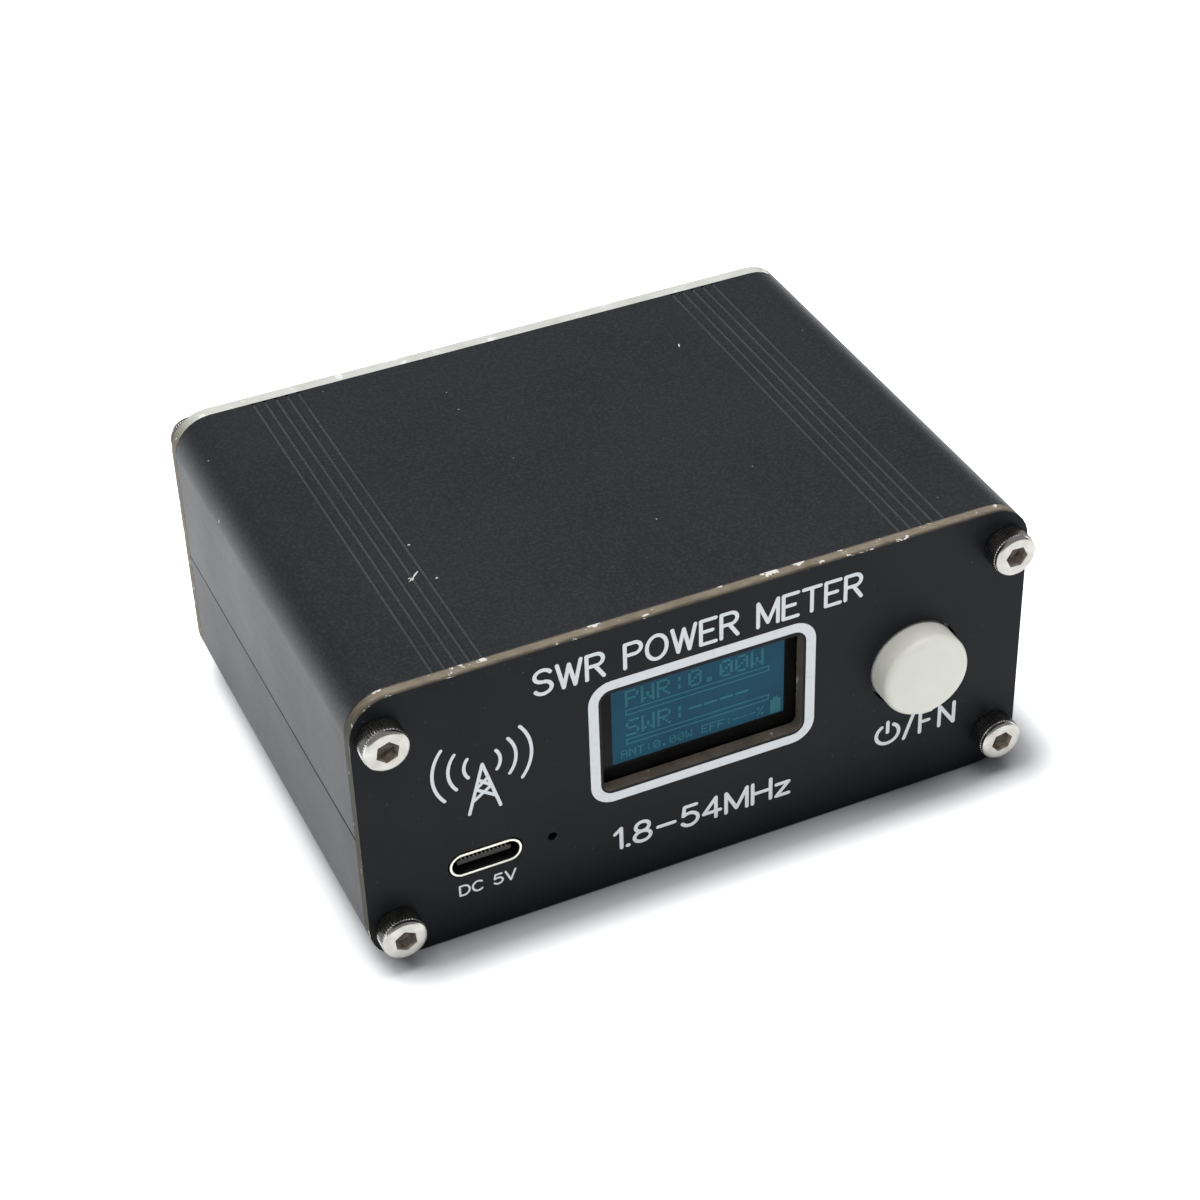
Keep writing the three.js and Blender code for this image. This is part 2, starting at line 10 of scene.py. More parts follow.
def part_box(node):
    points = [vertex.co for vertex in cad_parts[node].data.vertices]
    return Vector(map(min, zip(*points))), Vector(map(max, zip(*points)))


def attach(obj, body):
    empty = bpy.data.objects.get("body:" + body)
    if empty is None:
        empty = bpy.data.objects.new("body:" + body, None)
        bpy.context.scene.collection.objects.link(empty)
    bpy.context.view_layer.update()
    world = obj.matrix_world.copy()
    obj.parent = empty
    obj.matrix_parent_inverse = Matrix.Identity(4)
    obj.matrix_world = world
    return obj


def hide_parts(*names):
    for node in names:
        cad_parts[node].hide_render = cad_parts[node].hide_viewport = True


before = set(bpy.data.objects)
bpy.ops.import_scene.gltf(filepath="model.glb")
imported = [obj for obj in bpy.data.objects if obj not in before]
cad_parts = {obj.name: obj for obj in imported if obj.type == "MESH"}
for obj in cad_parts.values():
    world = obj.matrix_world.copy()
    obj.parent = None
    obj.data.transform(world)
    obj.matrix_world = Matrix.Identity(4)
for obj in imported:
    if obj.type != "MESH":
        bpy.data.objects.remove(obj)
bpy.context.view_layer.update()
MM = 0.001

# --- case halves
# Two identical lengths of drawn aluminium channel, one turned over on the
# other. They are bead blasted and dyed black by anodising, so the surface is
# a dry satin with faint drawing lines, and the sawn ends are eased.
CASE_LOW, CASE_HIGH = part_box("case_lower")[0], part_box("case_upper")[1]
CASE_W = CASE_HIGH.x - CASE_LOW.x
CASE_H = CASE_HIGH.z
CASE_CORNER = 5.0 * MM
CASE_END_EASE = 0.12 * MM
CASE_SEAM = (17.0 * MM, 21.0 * MM)
GROOVE = (0.07 * MM, 0.35 * MM)


def grey(value):
    return (value, value, value)


class Finish:
    """A surface finish built from shader nodes on object coordinates."""

    def __init__(self, name, metallic=0.0, ior=1.5, specular=0.5):
        self.material = bpy.data.materials.new(name)
        self.material.use_nodes = True
        self.tree = self.material.node_tree
        self.shader = self.tree.nodes["Principled BSDF"]
        self.place = self.node("TexCoord", {}, "Object")
        self.feed("Metallic", metallic)
        self.feed("IOR", ior)
        self.feed("Specular IOR Level", specular)

    def plug(self, socket, value):
        """Links a socket to another one, or sets it to a plain value."""
        if isinstance(value, bpy.types.NodeSocket):
            self.tree.links.new(value, socket)
        else:
            socket.default_value = (*value, 1.0) if socket.type == "RGBA" else value

    def node(self, kind, inputs, output, **settings):
        made = self.tree.nodes.new(f"ShaderNode{kind}")
        for setting, value in settings.items():
            setattr(made, setting, value)
        for socket, value in inputs.items():
            self.plug(made.inputs[socket], value)
        return made.outputs[output]

    def feed(self, name, value):
        self.plug(self.shader.inputs[name], value)

    def sum_of(self, operation, *values, kind="Math", output="Value"):
        return self.node(kind, dict(enumerate(values)), output, operation=operation)

    def axis(self, name):
        return self.node("SeparateXYZ", {"Vector": self.place}, name)

    def stretched(self, x, y, z):
        return self.node("Mapping", {"Vector": self.place, "Scale": (x, y, z)}, "Vector")

    def noise(self, scale, detail=2.0, roughness=0.5, along=None):
        return self.node("TexNoise", {"Vector": along or self.place, "Scale": scale,
                                      "Detail": detail, "Roughness": roughness}, "Fac")

    def steps(self, value, *stops):
        """A colour ramp: each stop is (place, colour)."""
        colour = self.node("ValToRGB", {"Fac": value}, "Color")
        elements = colour.node.color_ramp.elements
        while len(elements) < len(stops):
            elements.new(0.5)
        for element, (place, shade) in zip(elements, stops):
            element.position = place
            element.color = (*shade, 1.0)
        return colour

    def tones(self, value, dark, light):
        return self.steps(value, (0.3, dark), (0.7, light))

    def above(self, value, start, end):
        """Nought up to start, then one from end on."""
        return self.steps(value, (start, grey(0.0)), (end, grey(1.0)))

    def between(self, value, low, high, start=0.0, end=1.0):
        """A number from low to high as value goes from start to end."""
        return self.node("MapRange", {"Value": value, "From Min": start, "From Max": end,
                                      "To Min": low, "To Max": high}, "Result")

    def spot(self, centre, half, turn):
        """One in a small ragged ellipse round centre, nought outside it."""
        near = self.node("Mapping", {"Vector": self.place, "Location": centre,
                                     "Rotation": (0.0, 0.0, radians(turn)),
                                     "Scale": (*half, MM)}, "Vector", vector_type="TEXTURE")
        far = self.sum_of("LENGTH", near, kind="VectorMath")
        return self.between(self.sum_of("ADD", far, self.noise(5200)), 1.0, 0.0, 1.3, 1.5)

    def mix(self, amount, first, second, mode="MIX"):
        return self.node("Mix", {0: amount, 6: first, 7: second}, 2,
                         data_type="RGBA", blend_type=mode)

    def colour(self, value):
        self.feed("Base Color", value)

    def rough(self, value):
        self.feed("Roughness", value)

    def relief(self, height, distance, strength=1.0):
        """Adds a bump; each call lies over the ones before."""
        inputs = {"Height": height, "Distance": distance, "Strength": strength}
        below = self.shader.inputs["Normal"]
        if below.is_linked:
            inputs["Normal"] = below.links[0].from_socket
        self.feed("Normal", self.node("Bump", inputs, "Normal"))


# Small nicks through to bright metal: place, length and width, turn in degrees.
NICKS = [((-0.0272, -0.0127, 0.038), (0.0012, 0.00012), 42),
         ((-0.0276, -0.0128, 0.038), (0.0005, 0.0001), 12),
         ((-0.0255, -0.0068, 0.038), (0.00016, 0.00012), 0),
         ((-0.025, -0.0142, 0.038), (0.00018, 0.00014), 0),
         ((0.0212, 0.018, 0.038), (0.0004, 0.0001), 70)]


def anodised(name, lift=1.0, blue=1.0):
    f = Finish(name, specular=0.3)
    lines = f.noise(1.0, 3.0, 0.6, along=f.stretched(2600, 18, 2600))
    cloud = f.noise(70, 3.0)
    grain = f.noise(14000, 2.0, 0.6)
    dark, light = [(shade[0] * lift, shade[1] * lift, shade[2] * lift * blue)
                   for shade in ((0.008, 0.0086, 0.0112), (0.011, 0.0117, 0.0146))]
    tone = f.mix(0.3, f.tones(cloud, dark, light), f.tones(lines, dark, light))
    fleck = f.between(f.noise(2600, 2.0, 0.7), 0.0, 0.8, 0.45, 0.75)
    tone = f.mix(fleck, tone, (0.03, 0.03, 0.032))
    dust = f.above(f.noise(1100, 1.0, 0.4), 0.825, 0.84)
    tone = f.mix(f.between(dust, 0.0, 0.7), tone, (0.4, 0.4, 0.38))
    for nick in NICKS:
        tone = f.mix(f.spot(*nick), tone, (0.6, 0.6, 0.57))
    f.colour(tone)
    f.rough(f.between(f.mix(0.3, cloud, lines), 0.44, 0.52, 0.3, 0.7))
    f.relief(grain, 0.007 * MM, 0.7)
    f.relief(lines, 0.001 * MM, 0.25)
    return f.material


def on_outside(point):
    """True for a point on the case's outer skin, its grooves included."""
    x = abs(point.x) - (CASE_W / 2 - CASE_CORNER)
    z = CASE_CORNER - min(point.z, CASE_H - point.z)
    if x > 0 and z > 0:
        return hypot(x, z) > CASE_CORNER - 0.05 * MM
    return x > CASE_CORNER - 0.25 * MM or z > CASE_CORNER - 0.35 * MM


def cad_mesh(node):
    """A welded copy of a CAD node's mesh with its flat areas cleaned up."""
    bm = bmesh.new()
    bm.from_mesh(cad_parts[node].data)
    bmesh.ops.remove_doubles(bm, verts=bm.verts, dist=0.002 * MM)
    bmesh.ops.dissolve_limit(bm, verts=bm.verts, edges=bm.edges, angle_limit=radians(0.5))
    return bm


def sharp_edges(bm, least_angle, wanted=lambda edge: True):
    return [e for e in bm.edges if e.is_manifold
            and e.calc_face_angle() > radians(least_angle) and wanted(e)]


def points_of(made):
    """The new vertices that a bmesh operator made."""
    return [v for v in made["geom"] if isinstance(v, bmesh.types.BMVert)]


def face_out(bm):
    bmesh.ops.recalc_face_normals(bm, faces=bm.faces)


def open_edges(bm):
    return [e for e in bm.edges if e.is_boundary]


def ease(bm, edges, size, segments=2):
    bmesh.ops.bevel(bm, geom=edges, offset=size, segments=segments, profile=0.5,
                    affect="EDGES", material=-1, clamp_overlap=True)


def put(name, data):
    """Stands an object in the scene."""
    obj = bpy.data.objects.new(name, data)
    bpy.context.scene.collection.objects.link(obj)
    return obj


def piece(name, slot, bm, *finishes, node=None, body="meter", sharp=35.0, even=False):
    """Puts a finished mesh in the scene, riding on its body."""
    mesh = bpy.data.meshes.new(name)
    bm.to_mesh(mesh)
    bm.free()
    for finish in finishes:
        mesh.materials.append(finish)
    mesh.shade_smooth()
    mesh.set_sharp_from_angle(angle=radians(sharp))
    obj = put(name, mesh)
    if even:
        obj.modifiers.new("even_shading", "WEIGHTED_NORMAL").keep_sharp = True
    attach(obj, body)
    if node:
        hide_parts(node)


case_finish = anodised("black_anodising")
# The groove faces take a lighter copy of the anodising: a painted highlight standing in for light
# off the grooves' walls.
groove_highlight_finish = anodised("groove_anodising_painted_highlight", 6.4, 0.8)
for half in ("case_lower", "case_upper"):
    shell = cad_mesh(half)
    ease(shell, sharp_edges(shell, 25, lambda e: all(on_outside(v.co) for v in e.verts)
                            and not all(CASE_SEAM[0] < v.co.z < CASE_SEAM[1] for v in e.verts)),
         CASE_END_EASE)
    for face in shell.faces:
        middle = face.calc_center_median()
        depth = min(middle.z, CASE_H - middle.z)
        if GROOVE[0] < depth < GROOVE[1] and abs(middle.x) < CASE_W / 2 - CASE_CORNER:
            face.material_index = 1
    piece(f"{half}_shell", "case_metal", shell, case_finish, groove_highlight_finish, node=half, even=True)

# --- main board
# Green masked glass laminate, slid into the case's lowest slots. Parts are
# soldered on top by reflow, and a routed slot lets the battery leads come up
# from below.
shift, rotate = Matrix.Translation, Matrix.Rotation


def block(bm, x, y, z):
    """A box between the given limits."""
    low, high = (Vector(corner) for corner in zip(x, y, z))
    bmesh.ops.create_cube(bm, size=1.0, matrix=shift((low + high) / 2)
                          @ Matrix.Diagonal((*(high - low), 1.0)))


mask = Finish("green_board_mask", specular=0.4)
runs = mask.noise(1.0, 1.0, 0.4, along=mask.stretched(60, 700, 60))
cross = mask.noise(1.0, 1.0, 0.4, along=mask.stretched(700, 60, 700))
copper = mask.above(mask.mix(0.5, runs, cross), 0.52, 0.55)
mask.colour(mask.mix(mask.between(copper, 0.0, 0.7), (0.012, 0.075, 0.03), (0.03, 0.13, 0.052)))
mask.rough(mask.between(mask.noise(300), 0.32, 0.45))
mask.relief(copper, 0.03 * MM, 0.5)
board_green = mask.material


def soft_block(name, slot, finish, softness, x, y, z, segments=2, **riding):
    """A piece that is one block with eased edges."""
    bm = bmesh.new()
    block(bm, x, y, z)
    ease(bm, bm.edges[:], softness, segments)
    piece(name, slot, bm, finish, **riding)


def moulded(name, dark, light, rough, scale=900):
    """A moulded or cast surface: mottled colour and a fine skin."""
    f = Finish(name, specular=0.4)
    f.colour(f.tones(f.noise(scale, 3.0), dark, light))
    f.rough(f.between(f.noise(scale * 2, 3.0), *rough))
    f.relief(f.noise(scale * 6), 0.008 * MM, 0.5)
    return f.material


def plated(name, dark, light, rough):
    f = Finish(name, metallic=1.0)
    f.colour(f.tones(f.noise(700, 3.0), dark, light))
    f.rough(f.between(f.noise(2600, 3.0), *rough))
    f.relief(f.noise(6500), 0.004 * MM, 0.5)
    return f.material


epoxy = moulded("black_chip_epoxy", grey(0.014), grey(0.024), (0.45, 0.6), 2200)
tin = plated("tinned_lead", (0.5, 0.5, 0.48), (0.66, 0.66, 0.63), (0.2, 0.38))


def remade(node, finish, slot, edge=0.0, name=None, sharp=40.0, body="meter"):
    """The CAD node's own shape with smooth shading and eased corners."""
    bm = cad_mesh(node)
    if edge:
        ease(bm, sharp_edges(bm, 55), edge)
    piece(name or f"{node}_finished", slot, bm, finish, node=node, sharp=sharp, body=body)


remade("main_board", board_green, "board_laminate", 0.06 * MM, "main_board_laminate", 35)


def leg(bm, body, tip, across, width, level):
    """One bent lead, out along X from the body and down to its tip at Z 0."""
    way = copysign(1.0, tip - body)
    bend = tip - way * 0.45 * MM
    y = (across - width / 2, across + width / 2)
    block(bm, sorted((body - way * 0.1 * MM, bend)), y, (level - 0.06 * MM, level + 0.06 * MM))
    block(bm, sorted((bend, bend + way * 0.12 * MM)), y, (0.0, level + 0.06 * MM))
    block(bm, sorted((bend, tip)), y, (0.0, 0.12 * MM))


def chip(node, inset, count, pitch, width, sides=1):
    """A moulded package on bent leads, inside its CAD block."""
    low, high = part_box(node)
    middle = (low + high) / 2
    body = bmesh.new()
    y_inset = inset * (sides - 1)
    block(body, (low.x + inset, high.x - inset), (low.y + y_inset, high.y - y_inset),
          (low.z + 0.1 * MM, high.z))
    ease(body, body.edges[:], 0.12 * MM)
    if count > 1:
        corner = (low.x + inset + 0.65 * MM, high.y - y_inset - 0.65 * MM, high.z)
        bmesh.ops.create_cone(body, cap_ends=True, segments=20, radius1=0.28 * MM,
                              radius2=0.28 * MM, depth=0.03 * MM, matrix=shift(corner))
    piece(f"{node}_package", "chip_epoxy", body, epoxy, node=node)
    leads = bmesh.new()
    for turn in range(sides):
        done = len(leads.verts)
        half = (high - low)[turn] / 2
        for i in range(count):
            across = (i - (count - 1) / 2) * pitch
            for way in (-1, 1):
                leg(leads, way * (half - inset), way * half, across, width, (high.z - low.z) / 2)
        bmesh.ops.transform(leads, verts=leads.verts[:][done:], matrix=shift(
            (middle.x, middle.y, low.z)) @ rotate(turn * pi / 2, 4, "Z"))
    piece(f"{node}_leads", "jack_plating", leads, tin)


chip("mcu_chip", 0.95 * MM, 8, 0.5 * MM, 0.22 * MM, sides=2)
chip("charger_chip", 0.75 * MM, 4, 0.95 * MM, 0.36 * MM)
chip("forward_diode", 0.25 * MM, 1, 1.0 * MM, 0.9 * MM)
chip("reflected_diode", 0.25 * MM, 1, 1.0 * MM, 0.9 * MM)

# Thick film resistors: a ceramic slab, glazed on top, with tinned end caps.
ceramic = moulded("white_ceramic", grey(0.55), grey(0.64), (0.4, 0.6), 1500)
for node in ("load_resistor_1", "load_resistor_2"):
    low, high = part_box(node)
    soft_block(f"{node}_ceramic", "chip_epoxy", ceramic, 0.04 * MM, (low.x, high.x),
               (low.y + 0.05 * MM, high.y - 0.05 * MM), (low.z, high.z - 0.08 * MM), node=node)
    soft_block(f"{node}_glaze", "chip_epoxy", epoxy, 0.03 * MM,
               (low.x + 0.12 * MM, high.x - 0.12 * MM), (low.y + 0.7 * MM, high.y - 0.7 * MM),
               (high.z - 0.1 * MM, high.z - 0.02 * MM))
    caps = bmesh.new()
    for y in ((low.y, low.y + 0.6 * MM), (high.y - 0.6 * MM, high.y)):
        block(caps, (low.x - 0.02 * MM, high.x + 0.02 * MM), y, (low.z, high.z))
    ease(caps, caps.edges[:], 0.05 * MM)
    piece(f"{node}_end_caps", "jack_plating", caps, tin)

# The boost inductor: a pressed ferrite block, its coil showing in a round well.
ferrite = moulded("grey_ferrite", grey(0.03), grey(0.052), (0.6, 0.8), 1800)
remade("boost_inductor", ferrite, "inductor_ferrite", 0.25 * MM, "boost_inductor_block", 35)

# The charge lamp, a block of milky resin, stands close behind the pinhole.
remade("charge_led",
       moulded("milky_lamp_resin", (0.5, 0.48, 0.38), (0.6, 0.58, 0.47), (0.2, 0.35)),
       "lamp_resin", 0.15 * MM, "charge_lamp", 35)

# --- battery
# A lithium pouch cell in silver laminate foil, stuck under the board with
# foam tape. Its folded end carries a small protection board under amber tape.
low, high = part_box("battery")
FOLD = 3.2 * MM
foil = plated("silver_pouch_foil", (0.5, 0.51, 0.52), (0.6, 0.61, 0.62), (0.34, 0.5))
soft_block("battery_cell", "pouch_foil", foil, 1.1 * MM, (low.x + FOLD, high.x), (low.y, high.y),
           (low.z, high.z), segments=4, node="battery")
amber = moulded("amber_tape", (0.42, 0.2, 0.02), (0.52, 0.27, 0.04), (0.18, 0.3), 300)
soft_block("battery_end_tape", "pouch_foil", amber, 0.5 * MM, (low.x, low.x + FOLD + 0.9 * MM),
           (low.y + 1.2 * MM, high.y - 1.2 * MM), (low.z + 0.9 * MM, high.z - 0.9 * MM), segments=3)
remade("battery_tape", moulded("grey_foam", grey(0.09), grey(0.16), (0.8, 0.95), 2600), "foam_tape",
       0.08 * MM, "battery_foam_tape", 35)
remade("battery_lead_red",
       moulded("red_wire_sleeve", (0.38, 0.012, 0.01), (0.46, 0.022, 0.016), (0.35, 0.5)),
       "red_sleeve", sharp=60)
remade("battery_lead_black", moulded("black_wire_sleeve", grey(0.01), grey(0.018), (0.35, 0.5)),
       "black_sleeve", sharp=60)
ivory = moulded("ivory_nylon", (0.62, 0.58, 0.47), (0.7, 0.66, 0.55), (0.4, 0.55))
remade("battery_plug", ivory, "ivory_moulding", 0.15 * MM)
remade("battery_socket", ivory, "ivory_moulding", 0.1 * MM)

# --- coupler
# Two ferrite rings wound with enamelled copper. One rides on the line between
# the jacks and senses current; the other rides on a sense lead for voltage.
enamel = plated("enamelled_copper", (0.42, 0.13, 0.035), (0.58, 0.21, 0.06), (0.22, 0.36))
bus_tin = plated("tinned_copper", (0.48, 0.4, 0.32), (0.62, 0.54, 0.44), (0.25, 0.4))
for ring in ("current", "voltage"):
    remade(f"{ring}_core", ferrite, "inductor_ferrite", sharp=50)
    remade(f"{ring}_winding", enamel, "winding_copper", sharp=75)
remade("main_line", bus_tin, "line_copper", 0.15 * MM)
remade("sense_line", bus_tin, "line_copper", sharp=60)

# --- RF jacks
# Two threaded coaxial jacks, nickel plated brass, pushed through the rear
# panel from inside. Each holds a white insulator and a gilt centre contact,
# and a hexagon nut draws it up on a washer.
BARREL_R, BORE_R, COLLAR_R = 7.9 * MM, 6.15 * MM, 9.5 * MM
JACK_OUTLET, JACK_SEAT = 24.0 * MM, 30.0 * MM
JACK_PITCH = 1.06 * MM
ROOT_R = BARREL_R - 0.55 * MM
FACE_DEEP, COLLAR_DEEP = 5.0 * MM, 3.2 * MM
NOTCH_DEPTH, SLOT_LENGTH = 0.9 * MM, 3.4 * MM
PIN_R, PIN_BORE, PIN_TAIL_R = 2.3 * MM, 1.85 * MM, 1.4 * MM
PIN_STEPS, JACK_STEPS = 48, 72
NUT_FLATS, NUT_CHAMFER_R = 19.0 * MM, 9.3 * MM


def turned(profile, centre, steps=64):
    """Spins a profile of (radius, y) pairs about an axis along Y."""
    bm = bmesh.new()
    points = [bm.verts.new((centre[0] + r, y, centre[1])) for r, y in profile]
    lines = [bm.edges.new(pair) for pair in zip(points, points[1:])]
    bmesh.ops.spin(bm, geom=points + lines, cent=(centre[0], 0.0, centre[1]), axis=(0.0, 1.0, 0.0),
                   angle=2 * pi, steps=steps, use_merge=True, use_duplicate=False)
    bmesh.ops.remove_doubles(bm, verts=bm.verts, dist=0.0005 * MM)
    face_out(bm)
    return bm


def slit(bm, centre, end, tip):
    """Saws four slots down a tube, one column of faces each, and walls them."""
    def column(point):
        return atan2(point.z - centre[1], point.x - centre[0]) / tau * PIN_STEPS

    def out(v):
        return hypot(v.co.x - centre[0], v.co.z - centre[1])

    def round_the_wall(v):
        return atan2(v.co.y - (tip + end) / 2, (out(v) - (PIN_R + PIN_BORE) / 2) * 8)

    sawn = [f for f in bm.faces if f.calc_center_median().y > end
            and abs(column(f.calc_center_median()) % (PIN_STEPS / 4) - 0.5) < 0.3]
    bmesh.ops.delete(bm, geom=sawn, context="FACES")
    cut = {v for e in open_edges(bm) for v in e.verts}
    for quarter in range(4):
        ends = []
        for side in (0, 1):
            wall = [v for v in cut
                    if round(column(v.co) - quarter * PIN_STEPS / 4) % PIN_STEPS == side]
            bm.faces.new(sorted(wall, key=round_the_wall))
            ends.append(sorted(sorted(wall, key=lambda v: v.co.y)[:2], key=out))
        near, far = ends
        bm.faces.new((near[0], near[1], far[1], far[0]))
    face_out(bm)


bright_nickel = plated("bright_nickel", (0.54, 0.52, 0.48), (0.68, 0.66, 0.62), (0.16, 0.28))
gilt = plated("gilt_contact", (0.62, 0.4, 0.13), (0.8, 0.55, 0.22), (0.18, 0.3))
insulation = moulded("white_insulator", (0.68, 0.67, 0.63), (0.76, 0.75, 0.71), (0.35, 0.5))
for prefix in ("radio_jack", "antenna_jack"):
    low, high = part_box(f"{prefix}_body")
    centre, tip = ((low.x + high.x) / 2, (low.z + high.z) / 2), high.y
    profile = [(BORE_R, JACK_OUTLET), (6.9 * MM, JACK_OUTLET), (7.0 * MM, JACK_OUTLET + 0.1 * MM),
               (7.0 * MM, JACK_SEAT - 2.0 * MM), (COLLAR_R - 0.2 * MM, JACK_SEAT - 2.0 * MM),
               (COLLAR_R, JACK_SEAT - 1.8 * MM), (COLLAR_R, JACK_SEAT - 0.1 * MM),
               (COLLAR_R - 0.1 * MM, JACK_SEAT), (ROOT_R, JACK_SEAT)]
    y = JACK_SEAT + 0.5 * MM
    while y + JACK_PITCH < tip - 1.3 * MM:
        profile += [(ROOT_R, y + 0.06 * MM), (BARREL_R, y + 0.46 * MM),
                    (BARREL_R, y + 0.6 * MM), (ROOT_R, y + 1.0 * MM)]
        y += JACK_PITCH
    profile += [(ROOT_R, tip - 0.35 * MM), (ROOT_R - 0.3 * MM, tip), (BORE_R + 0.12 * MM, tip),
                (BORE_R, tip - 0.12 * MM), (BORE_R, JACK_OUTLET)]
    barrel = turned(profile, centre, JACK_STEPS)
    per_notch = JACK_STEPS // 4
    for v in barrel.verts:
        place = round(atan2(v.co.z - centre[1], v.co.x - centre[0]) / tau * JACK_STEPS)
        if v.co.y > tip - 0.4 * MM and min(place % per_notch, -place % per_notch) <= 1:
            v.co.y -= NOTCH_DEPTH
    piece(f"{prefix}_barrel", "jack_plating", barrel, bright_nickel, node=f"{prefix}_body",
          sharp=28)

    face, collar = tip - FACE_DEEP, tip - COLLAR_DEEP
    hole, rim = PIN_R + 0.06 * MM, BORE_R - 0.05 * MM
    plug = turned([(hole, JACK_OUTLET + 0.5 * MM), (rim, JACK_OUTLET + 0.5 * MM),
                   (rim, face - 0.15 * MM), (rim - 0.15 * MM, face), (3.8 * MM, face),
                   (3.6 * MM, face + 0.2 * MM), (3.6 * MM, collar - 0.15 * MM),
                   (3.45 * MM, collar), (hole + 0.15 * MM, collar), (hole, collar - 0.15 * MM),
                   (hole, JACK_OUTLET + 0.5 * MM)], centre)
    piece(f"{prefix}_insulation", "jack_insulation", plug, insulation, node=f"{prefix}_insulator")

    low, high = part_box(f"{prefix}_contact")
    slot_end = high.y - SLOT_LENGTH
    pin = turned([(0.0, low.y), (1.2 * MM, low.y), (PIN_TAIL_R, low.y + 0.2 * MM),
                  (PIN_TAIL_R, JACK_OUTLET), (PIN_R, JACK_OUTLET), (PIN_R, slot_end),
                  (PIN_R, high.y - 0.15 * MM), (2.15 * MM, high.y), (2.0 * MM, high.y),
                  (PIN_BORE, high.y - 0.15 * MM), (PIN_BORE, slot_end),
                  (PIN_BORE, tip - 14.0 * MM), (0.0, tip - 14.5 * MM)], centre, PIN_STEPS)
    slit(pin, centre, slot_end, high.y)
    piece(f"{prefix}_pin", "contact_plating", pin, gilt, node=f"{prefix}_contact", sharp=32)

    remade(f"{prefix}_washer", bright_nickel, "jack_plating", 0.1 * MM)
    low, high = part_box(f"{prefix}_nut")
    nut = cad_mesh(f"{prefix}_nut")
    for corner in range(6):
        for side, flat in ((-1, low.y), (1, high.y)):
            turn = 60 * corner + (30 if abs(high.x - low.x - NUT_FLATS) > 1.0 * MM else 0)
            out = rotate(radians(turn), 4, "Y") @ Vector((0.0, 0.0, 1.0))
            bmesh.ops.bisect_plane(
                nut, geom=nut.verts[:] + nut.edges[:] + nut.faces[:], dist=0.0005 * MM,
                plane_co=Vector((centre[0], flat, centre[1])) + out * NUT_CHAMFER_R,
                plane_no=out * 0.5 + Vector((0.0, side * 0.866, 0.0)), clear_outer=True)
            bmesh.ops.holes_fill(nut, edges=open_edges(nut))
    ease(nut, sharp_edges(nut, 15), 0.08 * MM)
    piece(f"{prefix}_hex_nut", "jack_plating", nut, bright_nickel, node=f"{prefix}_nut", sharp=20)

# --- charging socket
# A pressed steel shell soldered to the board's front edge, its mouth just
# proud of the panel. Inside, a black tongue carries two rows of gilt contacts.
low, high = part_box("usb_shell")
USB_X, USB_Z = (low.x + high.x) / 2, (low.z + high.z) / 2
USB_MOUTH = low.y
cream_steel = plated("pale_socket_steel", (0.66, 0.64, 0.56), (0.8, 0.78, 0.7), (0.25, 0.4))
shaded_steel = plated("shaded_socket_steel", grey(0.03), grey(0.05), (0.4, 0.6))
socket = cad_mesh("usb_shell")
ease(socket, sharp_edges(socket, 60, lambda e: all(v.co.y < USB_MOUTH + 0.05 * MM
                                                   for v in e.verts)), 0.1 * MM, 3)
for face in socket.faces:
    middle = face.calc_center_median()
    inward = Vector((USB_X - middle.x, 0.0, USB_Z - middle.z)).dot(face.normal) > 0
    face.material_index = 1 if middle.y > USB_MOUTH + 0.12 * MM and (
        inward or abs(face.normal.y) > 0.9) else 0
piece("charging_socket_shell", "usb_steel", socket, cream_steel, shaded_steel, node="usb_shell")
low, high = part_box("usb_tongue")
black_nylon = moulded("black_moulding", grey(0.008), grey(0.015), (0.4, 0.55))
soft_block("charging_socket_tongue", "black_moulding", black_nylon, 0.08 * MM, *zip(low, high),
           node="usb_tongue")
contacts = bmesh.new()
for i in range(12):
    x = USB_X + (i - 5.5) * 0.5 * MM
    block(contacts, (x - 0.1 * MM, x + 0.1 * MM), (low.y + 0.05 * MM, low.y + 1.2 * MM),
          (low.z + 0.18 * MM, high.z + 0.02 * MM))
    block(contacts, (x - 0.12 * MM, x + 0.12 * MM), (low.y + 0.4 * MM, low.y + 3.6 * MM),
          (low.z - 0.02 * MM, low.z + 0.1 * MM))
piece("charging_socket_contacts", "contact_plating", contacts,
      moulded("pale_gilt", (0.5, 0.46, 0.36), (0.7, 0.66, 0.54), (0.25, 0.4)))

# --- front board
# An upright board behind the panel holds the push switch and the display. A
# pin header joins it to the main board, and a second one the display to it.
remade("front_board", board_green, "board_laminate", 0.05 * MM)
PIN_PITCH, PIN_HALF = 2.54 * MM, 0.32 * MM


def header(node, count, upright=False):
    """A black strip with a row of square gilt pins through it."""
    low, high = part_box(node)
    remade(node, black_nylon, "black_moulding", 0.2 * MM)
    pins = bmesh.new()
    for i in range(count):
        x = (low.x + high.x) / 2 + (i - (count - 1) / 2) * PIN_PITCH
        z = (low.z + high.z) / 2
        y, z = (((low.y + 0.9 * MM, low.y + 1.5 * MM), (high.z - 0.2 * MM, high.z + 3.0 * MM))
                if upright else
                ((low.y - 1.3 * MM, high.y + 1.0 * MM), (z - PIN_HALF, z + PIN_HALF)))
        block(pins, (x - PIN_HALF, x + PIN_HALF), y, z)
    ease(pins, pins.edges[:], 0.1 * MM, 1)
    piece(f"{node}_pins", "contact_plating", pins, gilt)


header("display_header", 4)
header("board_header", 8, upright=True)

